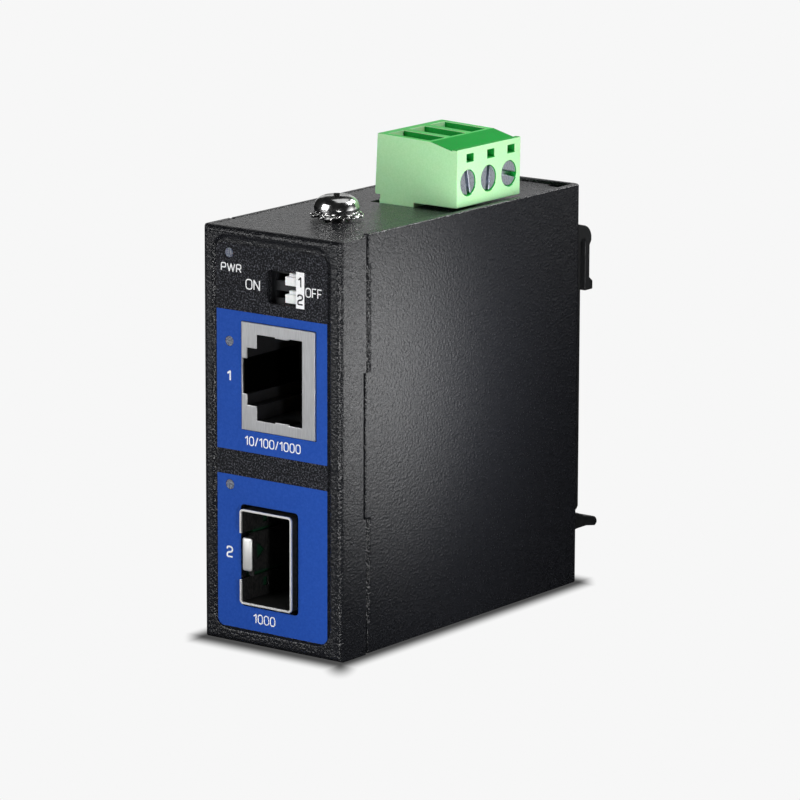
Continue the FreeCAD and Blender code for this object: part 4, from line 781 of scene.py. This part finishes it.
def washer_tree(name):
    """A flat ring with leaning teeth set evenly round it."""
    tree, size = growth(
        name, Rim=0.0029, Bore=0.0021, Thick=0.0005, Teeth=12, Reach=0.00395, Wide=0.0011, Twist=0.5)

    # The ring: a strip with softened edges, swept round the middle of the metal.
    strip = add(tree, "ShaderNodeMath", {0: size["Rim"], 1: size["Bore"]}, operation="SUBTRACT").outputs[0]
    half = add(tree, "ShaderNodeMath", {0: strip, 1: 2.0}, operation="DIVIDE").outputs[0]
    centre = add(tree, "ShaderNodeMath", {0: size["Bore"], 1: half}, operation="ADD").outputs[0]
    path = add(tree, "GeometryNodeCurvePrimitiveCircle", {"Resolution": 72, "Radius": centre}, mode="RADIUS")
    section = add(tree, "GeometryNodeCurvePrimitiveQuadrilateral", {0: size["Thick"], 1: strip}).outputs[0]
    softness = add(tree, "ShaderNodeMath", {0: size["Thick"], 1: 0.25}, operation="MULTIPLY").outputs[0]
    soft = add(tree, "GeometryNodeFilletCurve", {
        "Curve": section, "Radius": softness, "Count": 3}, mode="POLY").outputs[0]
    ring = add(tree, "GeometryNodeCurveToMesh", {0: path.outputs[0], 1: soft}).outputs[0]

    # One tooth: a rounded lump that starts inside the rim and leans out of the ring.
    root = add(tree, "ShaderNodeMath", {0: size["Rim"], 1: TOOTH_ROOT}, operation="SUBTRACT").outputs[0]
    long = add(tree, "ShaderNodeMath", {0: size["Reach"], 1: root}, operation="SUBTRACT").outputs[0]
    thin = add(tree, "ShaderNodeMath", {0: size["Thick"], 1: 0.8}, operation="MULTIPLY").outputs[0]
    block = add(tree, "ShaderNodeCombineXYZ", {0: long, 1: size["Wide"], 2: thin}).outputs[0]
    cube = add(tree, "GeometryNodeMeshCube", {"Size": block, 1: 3, 2: 3, 3: 2}).outputs[0]
    lump = add(tree, "GeometryNodeSubdivisionSurface", {0: cube, 1: 2}).outputs[0]
    lean = add(tree, "ShaderNodeCombineXYZ", {0: size["Twist"]}).outputs[0]
    leant = add(tree, "GeometryNodeTransform", {0: lump, "Rotation": lean}).outputs[0]
    reach = add(tree, "ShaderNodeMath", {0: long, 1: 2.0}, operation="DIVIDE").outputs[0]
    out = add(tree, "ShaderNodeMath", {0: root, 1: reach}, operation="ADD").outputs[0]
    shift = add(tree, "ShaderNodeCombineXYZ", {0: out}).outputs[0]
    tooth = add(tree, "GeometryNodeTransform", {0: leant, "Translation": shift}).outputs[0]

    # All the teeth, turned about the washer's axis.
    points = add(tree, "GeometryNodePoints", {"Count": size["Teeth"]}).outputs[0]
    index = add(tree, "GeometryNodeInputIndex").outputs[0]
    share = add(tree, "ShaderNodeMath", {0: index, 1: size["Teeth"]}, operation="DIVIDE").outputs[0]
    turn = add(tree, "ShaderNodeMath", {0: share, 1: 2 * math.pi}, operation="MULTIPLY").outputs[0]
    about = add(tree, "ShaderNodeCombineXYZ", {2: turn}).outputs[0]
    teeth = add(tree, "GeometryNodeInstanceOnPoints", {
        "Points": points, "Instance": tooth, "Rotation": about}).outputs[0]
    whole = add(tree, "GeometryNodeJoinGeometry", {0: ring})
    tree.links.new(teeth, whole.inputs[0])
    return tree, whole.outputs[0]


# Operators

# Boxes on the case, by low and high corner in millimetres: the dish's floor, whose openings keep
# their edges; the bend and the wall's top at the upper left, which lie level; and the fold
# between the front and the right side.
DISH_FLOOR = ((-10.1, -29.1, 1.9), (10.1, -28.0, 60.0))
LEFT_BEND = ((-11.45, -20.6, 60.02), (-10.0, 26.5, 61.1))
LEFT_WALL_TOP = ((-12.6, -29.0, 61.2), (-11.3, 28.6, 61.5))
FRONT_FOLD = ((12.4, -29.6, -0.1), (12.6, -29.4, 61.1))
TOP_LEVEL = 61.0
FOLD_SHARE = 3
COVER_SHARE = 1.6


class CONVERTER_OT_case(bpy.types.Operator):
    """Coats the chassis and the cover, and rounds their cut edges"""
    bl_idname = "converter.case"
    bl_label = "Case"

    def execute(self, context):
        edge = context.scene.converter_case.edge
        ease("chassis", "coated_chassis", edge, "powder_coated_steel", "powder_coat", hidden=DISH_FLOOR,
             levelled=(*LEFT_BEND, TOP_LEVEL), bend=(*FRONT_FOLD, FOLD_SHARE * edge))
        ease("wrap_cover", "coated_cover", COVER_SHARE * edge, "powder_coated_steel", "powder_coat",
             levelled=(*LEFT_WALL_TOP, TOP_LEVEL))
        return {"FINISHED"}


class CONVERTER_OT_label(bpy.types.Operator):
    """Prints the overlay with its port fields, switch strip and lettering"""
    bl_idname = "converter.label"
    bl_label = "Front label"

    def execute(self, context):
        paint("polyester_film", "front_label")
        ink = context.scene.converter_label.ink_thick / MM
        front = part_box("front_label")[0].y / MM - ink
        parts = [(word(*row, front), 0) for row in WHITE_WORDS] + [(number_strip(front), 0)]
        parts += [(word(*row, front - ink), 1) for row in BLACK_DIGITS]
        shown("lettering", joined("lettering", parts), "case", "printed_film", "screen_ink", "black_ink")
        return {"FINISHED"}


CAGE_EDGE = 0.00003
SHIELD_EDGE = 0.0001

# The cage's lip, in metres: its size, its place in x and z, how far its middle lies behind the
# cage's front, and the radius of its edges.
LIP_SIZE = (0.0018, 0.0011, 0.005)
LIP_X = -0.00395
LIP_Z = 0.0137
LIP_INSET = 0.0006
LIP_EDGE = 0.0004


class CONVERTER_OT_ports(bpy.types.Operator):
    """Finishes the copper jack and the module cage with their contacts"""
    bl_idname = "converter.ports"
    bl_label = "Ports"

    def execute(self, context):
        ease("jack_shield", "plated_jack_shield", SHIELD_EDGE, "shield_steel", "nickel_sheet")
        cage = joined("cage", [(eased("module_cage", CAGE_EDGE), 0), (self.lip(), 0)])
        piece = shown("plated_module_cage", cage, "case", "shield_steel", "cage_nickel")
        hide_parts("module_cage")
        paint("black_thermoplastic", "jack_insert", "module_socket")
        paint("gold_plate", "jack_contacts", "module_contacts")
        return {"FINISHED"}

    @staticmethod
    def lip():
        """The rounded tongue at the left of the cage's mouth."""
        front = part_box("module_cage")[0].y
        place = Matrix.Translation((LIP_X, front + LIP_INSET, LIP_Z))
        bm = bmesh.new()
        bmesh.ops.create_cube(bm, size=1.0)
        bm.transform(place @ Matrix.Diagonal((*LIP_SIZE, 1)))
        bmesh.ops.bevel(bm, geom=bm.edges, offset=LIP_EDGE, segments=3, profile=0.5, affect="EDGES")
        for face in bm.faces:
            face.smooth = True
        return mesh_of(bm, "tongue")


KNOB_EDGE = 0.00008


class CONVERTER_OT_switch(bpy.types.Operator):
    """Finishes the option switch and the status lamps"""
    bl_idname = "converter.switch"
    bl_label = "Switch and lamps"

    def execute(self, context):
        paint("black_thermoplastic", "switch_body")
        paint("tin_plate", "switch_leads")
        for k in (1, 2):
            ease(f"switch_knob_{k}", f"moulded_knob_{k}", KNOB_EDGE, "white_nylon", "white_thermoplastic")
        paint("frosted_polycarbonate", "light_pipes")
        paint("lamp_resin", "lamp_chips")
        return {"FINISHED"}


# The plug, in metres: its walls; how far below its top the wells, the slope and the foot start and
# the walls' tops end; where the slope starts in x; and how far the foot is set in from its face.
SIDE_WALL = 0.0009
END_WALL = 0.0004
WELL_START = 0.0006
SLOPE_START = 0.0003
SLOPE_X = 0.0064
WALL_TOP = 0.0004
FOOT_START = 0.0096
FOOT_FACE = 0.0002
FOOT_INSET = 0.0008
SCREW_EDGE = 0.0001
SLOT_TURNS = (74.0, -28.0, -82.0)
# The plug's greens: its own, painted shade, and painted light in the thin walls.
TEXTURED, PAINTED_SHADE, PAINTED_GLOW = range(3)


class CONVERTER_OT_plug(bpy.types.Operator):
    """Finishes the terminal plug, its header and the three screw clamps"""
    bl_idname = "converter.plug"
    bl_label = "Terminal plug"

    def execute(self, context):
        mesh = eased("terminal_plug", context.scene.converter_plug.edge)
        piece = shown("moulded_plug", mesh, "plug", "green_nylon", "green_nylon", "shaded_green_nylon",
                      "glowing_green_nylon")
        low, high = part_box("terminal_plug")
        for face in mesh.polygons:
            face.material_index = self.skin(face, low, high)
        for v in mesh.vertices:
            if v.co.x < low.x + FOOT_FACE and v.co.z < high.z - FOOT_START:
                v.co.x += FOOT_INSET
        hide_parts("terminal_plug")
        paint("green_nylon", "terminal_header")
        paint("tin_plate", "header_pins", "plug_contacts")
        for k, turn in enumerate(SLOT_TURNS, 1):
            node = f"clamp_screw_{k}"
            screw = ease(node, f"plated_{node}", SCREW_EDGE, "zinc_steel", "zinc_plate")
            axis = Matrix.Translation(middle(node))
            screw.data.transform(axis @ Matrix.Rotation(math.radians(turn), 4, "X") @ axis.inverted())
            paint("zinc_plate", f"clamp_cage_{k}")
        return {"FINISHED"}

    @staticmethod
    def skin(face, low, high):
        """Which green a face takes: the moulding's own, the darker green painted as shade on the slope and
        in the wells apart from their walls that face right, or the saturated green painted for the light in
        the walls' tops.
        """
        x, y, z = face.center
        below = high.z - z
        inside = low.x + SIDE_WALL < x < high.x - SIDE_WALL and low.y + END_WALL < y < high.y - END_WALL
        well = inside and below > WELL_START
        if well and face.normal.x > 0.7:
            return TEXTURED
        if well or (face.normal.z > 0.35 and below > SLOPE_START and x > SLOPE_X):
            return PAINTED_SHADE
        if face.normal.z > 0.7 and below < WALL_TOP:
            return PAINTED_GLOW
        return TEXTURED


# The earth screw, in metres apart from its turn, its steps and the wire's share of the thread.
DOME_STEPS = 25
HEAD_CHAMFER = 0.0002
HEAD_TURN = math.radians(37)
SHANK_OVERLAP = 0.0002
TIP_LONG = 0.0004
THREAD_DEEP = 0.00035
THREAD_WIRE = 0.98
THREAD_START = 0.0006
THREAD_ENDS = 0.0007

# The recess's ends: height above the dome, half its length and half its width.
RECESS = ((0.0004, 0.0021, 0.00048), (-0.0015, 0.0008, 0.0003))


class CONVERTER_OT_earth(bpy.types.Operator):
    """Makes the domed earth screw with its thread, and the toothed washer"""
    bl_idname = "converter.earth"
    bl_label = "Earth screw"

    def execute(self, context):
        earth = context.scene.converter_earth
        centre = middle("ground_screw")
        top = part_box("ground_screw")[1].z
        seat = top - earth.high
        tip = seat - earth.long
        core = earth.shank - THREAD_DEEP
        root = seat + SHANK_OVERLAP
        shank = turned([(0.0, root), (core, root), (core, tip + TIP_LONG),
                        (core - THREAD_DEEP, tip), (0.0, tip)])
        smooth(shank, SHARP)
        tree, last = coil_tree("screw_thread")
        rise = earth.long - 2 * THREAD_ENDS
        thread = grown("thread", tree, last, "bright_nickel", Radius=core, Wire=THREAD_DEEP * THREAD_WIRE,
                       Height=rise, Turns=rise / earth.pitch, Steps=28, Sides=6)
        thread.transform(Matrix.Translation((0, 0, tip + THREAD_START)))
        whole = joined("earth_screw", [(self.head(earth, seat, top), 0), (shank, 0), (thread, 0)])
        whole.transform(Matrix.Translation((centre.x, centre.y, 0)) @ Matrix.Rotation(HEAD_TURN, 4, "Z"))
        piece = shown("domed_earth_screw", whole, "earth_screw", "bright_steel", "bright_nickel")
        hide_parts("ground_screw")
        tree, last = washer_tree("toothed_washer")
        washer = grown("washer", tree, last, "bright_nickel", Rim=earth.rim, Bore=earth.bore,
                       Thick=earth.thick, Teeth=earth.teeth, Reach=earth.reach, Wide=earth.wide,
                       Twist=earth.twist)
        washer.transform(Matrix.Translation(middle("ground_washer")))
        smooth(washer, math.radians(50))
        piece = shown("toothed_earth_washer", washer, "washer", "bright_steel", "bright_nickel")
        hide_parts("ground_washer")
        return {"FINISHED"}

    def head(self, earth, seat, top):
        """The domed head with its driver's cross cut in."""
        profile = [(0.0, seat), (earth.radius - HEAD_CHAMFER, seat)]
        power = 2 / earth.fullness
        for k in range(DOME_STEPS):
            turn = math.pi / 2 * (k + 1.5) / (DOME_STEPS + 0.5)
            r = earth.radius * math.cos(turn) ** power if k < DOME_STEPS - 1 else 0.0
            profile.append((r, seat + earth.high * math.sin(turn) ** power))
        blank = carrier("head", turned(profile))
        tool = carrier("recess", self.cross(top))
        cut = blank.modifiers.new("recess", "BOOLEAN")
        cut.operation = "DIFFERENCE"
        cut.solver = "EXACT"
        cut.object = tool
        cut.use_self = True
        mesh = evaluated(blank)
        bpy.data.objects.remove(tool)
        smooth(mesh, math.radians(30))
        return mesh

    @staticmethod
    def cross(top):
        """The tapered cross that the driver fits."""
        bm = bmesh.new()
        for across in (False, True):
            corners = []
            for above, long, wide in RECESS:
                z = top + above
                for x, y in ((-long, -wide), (long, -wide), (long, wide), (-long, wide)):
                    corners.append(bm.verts.new((y, x, z) if across else (x, y, z)))
            bm.faces.new(corners[:4])
            bm.faces.new(corners[4:])
            for k in range(4):
                n = (k + 1) % 4
                bm.faces.new([corners[k], corners[n], corners[4 + n], corners[4 + k]])
        bmesh.ops.recalc_face_normals(bm, faces=bm.faces)
        return mesh_of(bm, "cross")


class CONVERTER_OT_clip(bpy.types.Operator):
    """Finishes the rail clip and winds its coil spring"""
    bl_idname = "converter.clip"
    bl_label = "Rail clip"

    def execute(self, context):
        clip = context.scene.converter_clip
        for node in ("rail_bracket", "rail_latch"):
            ease(node, f"moulded_{node}", clip.edge, "black_nylon", "glass_filled_nylon")
        low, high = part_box("latch_spring")
        centre = middle("latch_spring")
        tree, last = coil_tree("clip_spring")
        coil = grown("coil", tree, last, "spring_wire", Radius=(high.x - low.x) / 2 - clip.wire,
                     Wire=clip.wire, Height=high.z - low.z - 2 * clip.wire, Turns=clip.turns, Steps=40,
                     Sides=12)
        coil.transform(Matrix.Translation((centre.x, centre.y, low.z + clip.wire)))
        smooth(coil, math.radians(60))
        piece = shown("wound_spring", coil, "case", "spring_steel", "spring_wire")
        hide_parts("latch_spring")
        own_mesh(piece)
        return {"FINISHED"}


class CONVERTER_OT_fasteners(bpy.types.Operator):
    """Finishes the screws of the cover, the clip and the board"""
    bl_idname = "converter.fasteners"
    bl_label = "Fasteners"

    def execute(self, context):
        paint("black_zinc", "cover_screws", "bracket_screws")
        paint("zinc_plate", "board_screws")
        paint("turned_brass", "board_standoffs")
        return {"FINISHED"}


class CONVERTER_OT_board(bpy.types.Operator):
    """Finishes the circuit board and the parts on it"""
    bl_idname = "converter.board"
    bl_label = "Circuit board"

    def execute(self, context):
        paint("solder_mask", "circuit_board")
        paint("chip_epoxy", "converter_chip", "memory_chip", "regulator", "line_transformer",
              "power_inductor", "surge_diode", "chip_resistors")
        paint("drawn_aluminium", "storage_capacitor", "crystal")
        paint("fired_ceramic", "input_fuse", "ceramic_capacitors")
        return {"FINISHED"}


# Lamps: name, place, point that it faces, width and height, watts, the setting that scales it,
# and whether it fades towards its rim.
LAMPS = (
    ("front_lamp", (-0.35, -0.75, 0.35), (0, 0, 0.03), (0.5, 0.5), 4.2, "front", False),
    ("side_lamp", (0.034, 0.012, 0.098), (0.011, 0.008, 0.066), (0.02, 0.02), 0.01, "side", False),
    ("top_lamp", (0.1, 0.2, 0.8), (0, 0, 0), (0.6, 0.6), 0.8, "top", False),
    ("side_card", (0.03, -0.002, 0.038), (0.0, -0.002, 0.038), (0.044, 0.08), 0.06, "side", True),
    ("low_card", (-0.058, -0.107, 0.02), (0.0, -0.03, 0.04), (0.1, 0.1), 0.025, "front", True),
    ("back_card", (-0.3, 0.4, 0.13), (0.0, 0.0, 0.06), (0.35, 0.35), 0.22, "top", False),
    ("plug_card", (0.06, 0.075, 0.056), (0.011, 0.008, 0.066), (0.03, 0.03), 0.0025, "side", False),
    ("edge_card", (0.092, -0.092, 0.016), (0.012, -0.029, 0.032), (0.008, 0.09), 0.085, "side", False),
    ("rim_card", (0.065, 0.24, 0.22), (0.012, 0.0, 0.06), (0.08, 0.08), 0.35, "top", False),
)
CAMERA_PLACE = (0.4326365, -0.5749760, 0.1898114)
CAMERA_HEADING = 0.6440712627
CAMERA_DIP = 0.2162280234
CAMERA_ROLL = 0.00277736

# Half the case's foot, and the soft shadow painted round it: how fast it fades across the camera's view and
# along it, per metre, and how dark it is at the foot.
CASE_FOOT = (0.0125, 0.0295, 0)
SHADOW_FALL = (330, 115, 0)
SHADOW_DEPTH = 0.08
SOFT_LIGHT = 0.012


class CONVERTER_OT_stage(bpy.types.Operator):
    """Sets the floor, the lamps and the camera"""
    bl_idname = "converter.stage"
    bl_label = "Stage"

    def execute(self, context):
        stage = context.scene.converter_stage
        self.floor(stage)
        self.surroundings(context.scene, stage)
        for name, place, target, size, watts, setting, faded in LAMPS:
            self.lamp(name, place, target, size, watts * getattr(stage, setting), faded)
        camera = carrier("photo_camera", bpy.data.cameras.new("photo_camera"))
        camera.data.sensor_width = 36.0
        camera.data.lens = stage.lens
        camera.data.clip_start = 0.01
        heading = Matrix.Rotation(CAMERA_HEADING, 4, "Z")
        dip = Matrix.Rotation(math.pi / 2 - CAMERA_DIP, 4, "X")
        roll = Matrix.Rotation(CAMERA_ROLL, 4, "Z")
        camera.matrix_world = Matrix.Translation(CAMERA_PLACE) @ heading @ dip @ roll
        context.scene.camera = camera
        context.scene.view_settings.view_transform = "Standard"
        return {"FINISHED"}

    @staticmethod
    def floor(stage):
        """The floor, pale to the camera and dark to the metal that mirrors it."""
        bm = bmesh.new()
        bmesh.ops.create_grid(bm, x_segments=8, y_segments=8, size=4.0)
        floor = carrier("floor", mesh_of(bm, "floor"))
        floor.location.z = -0.00002

        # Pale seamless paper card, matt, with a soft shadow painted round the case's foot.
        made = bpy.data.materials.new("paper_card")
        made.use_nodes = True
        tree = made.node_tree
        tree.nodes.clear()
        path = add(tree, "ShaderNodeLightPath").outputs
        card = shades(tree, path["Is Glossy Ray"], stage.floor, "#0E0E0E", 0.0, 1.0)
        lit = add(tree, "ShaderNodeBsdfDiffuse", {"Color": card}).outputs[0]

        # How far a point lies from the case's foot, as a share of the shadow's reach.
        place = add(tree, "ShaderNodeTexCoord").outputs["Object"]
        inner = add(tree, "ShaderNodeVectorMath", {
            0: place, 1: [-half for half in CASE_FOOT]}, operation="MAXIMUM").outputs[0]
        foot = add(tree, "ShaderNodeVectorMath", {0: inner, 1: CASE_FOOT}, operation="MINIMUM").outputs[0]
        away = add(tree, "ShaderNodeVectorMath", {0: place, 1: foot}, operation="SUBTRACT").outputs[0]
        seen_along = add(tree, "ShaderNodeVectorRotate", {
            "Vector": away, "Angle": -CAMERA_HEADING}, rotation_type="Z_AXIS").outputs[0]
        widths = add(tree, "ShaderNodeVectorMath", {
            0: seen_along, 1: SHADOW_FALL}, operation="MULTIPLY").outputs[0]
        far = add(tree, "ShaderNodeVectorMath", {0: widths}, operation="LENGTH").outputs["Value"]

        # Painted shadow: the card's glow dims towards the foot.
        shade = add(tree, "ShaderNodeMapRange", {
            "Value": far, "From Min": 0.0, "From Max": 1.0, "To Min": SHADOW_DEPTH, "To Max": 1.0},
            interpolation_type="SMOOTHSTEP").outputs[0]
        glow = {"Color": linear(stage.floor), "Strength": shade}
        pale = add(tree, "ShaderNodeEmission", glow).outputs[0]
        seen = add(tree, "ShaderNodeMath", {
            0: path["Is Camera Ray"], 1: path["Is Transmission Ray"]}, operation="MAXIMUM").outputs[0]
        whole = add(tree, "ShaderNodeMixShader", {0: seen, 1: lit, 2: pale}).outputs[0]
        add(tree, "ShaderNodeOutputMaterial", {"Surface": whole})
        floor.data.materials.append(made)

    @staticmethod
    def surroundings(scene, stage):
        """A pale backdrop to the camera, and next to no light on the object."""
        world = bpy.data.worlds.new("studio")
        scene.world = world
        world.use_nodes = True
        tree = world.node_tree
        tree.nodes.clear()
        path = add(tree, "ShaderNodeLightPath").outputs
        seen = add(tree, "ShaderNodeMath", {
            0: path["Is Camera Ray"], 1: path["Is Transmission Ray"]}, operation="MAXIMUM").outputs[0]
        soft = {"Color": linear("#FFFFFF"), "Strength": SOFT_LIGHT}
        pale = {"Color": linear(stage.floor), "Strength": 1.0}
        shares = [add(tree, "ShaderNodeBackground", light).outputs[0] for light in (soft, pale)]
        whole = add(tree, "ShaderNodeMixShader", {0: seen, 1: shares[0], 2: shares[1]}).outputs[0]
        add(tree, "ShaderNodeOutputWorld", {"Surface": whole})

    @staticmethod
    def lamp(name, place, target, size, watts, faded):
        """A flat lamp or card that faces its target."""
        light = bpy.data.lights.new(name, "AREA")
        light.shape = "RECTANGLE"
        light.size, light.size_y = size
        light.energy = watts
        if faded:
            light.use_nodes = True
            tree = light.node_tree
            over = add(tree, "ShaderNodeNewGeometry").outputs["Parametric"]
            out = add(tree, "ShaderNodeVectorMath", {0: over, 1: (0.5, 0.5, 0)}, operation="DISTANCE")
            fade = add(tree, "ShaderNodeMapRange", {
                "Value": out.outputs["Value"], "From Min": 0.5, "From Max": 0.0},
                interpolation_type="SMOOTHSTEP").outputs[0]
            tree.links.new(fade, tree.nodes["Emission"].inputs["Strength"])
        lamp = carrier(name, light)
        lamp.location = place
        lamp.rotation_euler = (Vector(target) - Vector(place)).to_track_quat("-Z", "Y").to_euler()
        lamp.visible_camera = False


OPERATORS = (
    CONVERTER_OT_case, CONVERTER_OT_label, CONVERTER_OT_ports, CONVERTER_OT_switch, CONVERTER_OT_plug,
    CONVERTER_OT_earth, CONVERTER_OT_clip, CONVERTER_OT_fasteners, CONVERTER_OT_board,
    CONVERTER_OT_stage,
)


class CONVERTER_PT_sidebar(bpy.types.Panel):
    """Buttons and sizes of the converter"""
    bl_idname = "CONVERTER_PT_sidebar"
    bl_label = "Fibre media converter"
    bl_space_type = "VIEW_3D"
    bl_region_type = "UI"
    bl_category = "Converter"

    def draw(self, context):
        for operator in OPERATORS:
            self.layout.operator(operator.bl_idname)
        for group, kind in GROUPS.items():
            box = self.layout.box()
            for name in kind.__annotations__:
                box.prop(getattr(context.scene, group), name)


def register():
    for group, kind in GROUPS.items():
        bpy.utils.register_class(kind)
        setattr(bpy.types.Scene, group, PointerProperty(type=kind))
    for kind in OPERATORS + (CONVERTER_PT_sidebar,):
        bpy.utils.register_class(kind)


def unregister():
    for kind in reversed(OPERATORS + (CONVERTER_PT_sidebar,)):
        bpy.utils.unregister_class(kind)
    for group, kind in reversed(GROUPS.items()):
        delattr(bpy.types.Scene, group)
        bpy.utils.unregister_class(kind)


def main():
    register()
    for operator in OPERATORS:
        section, name = operator.bl_idname.split(".")
        getattr(getattr(bpy.ops, section), name)()


if __name__ == "__main__":
    main()
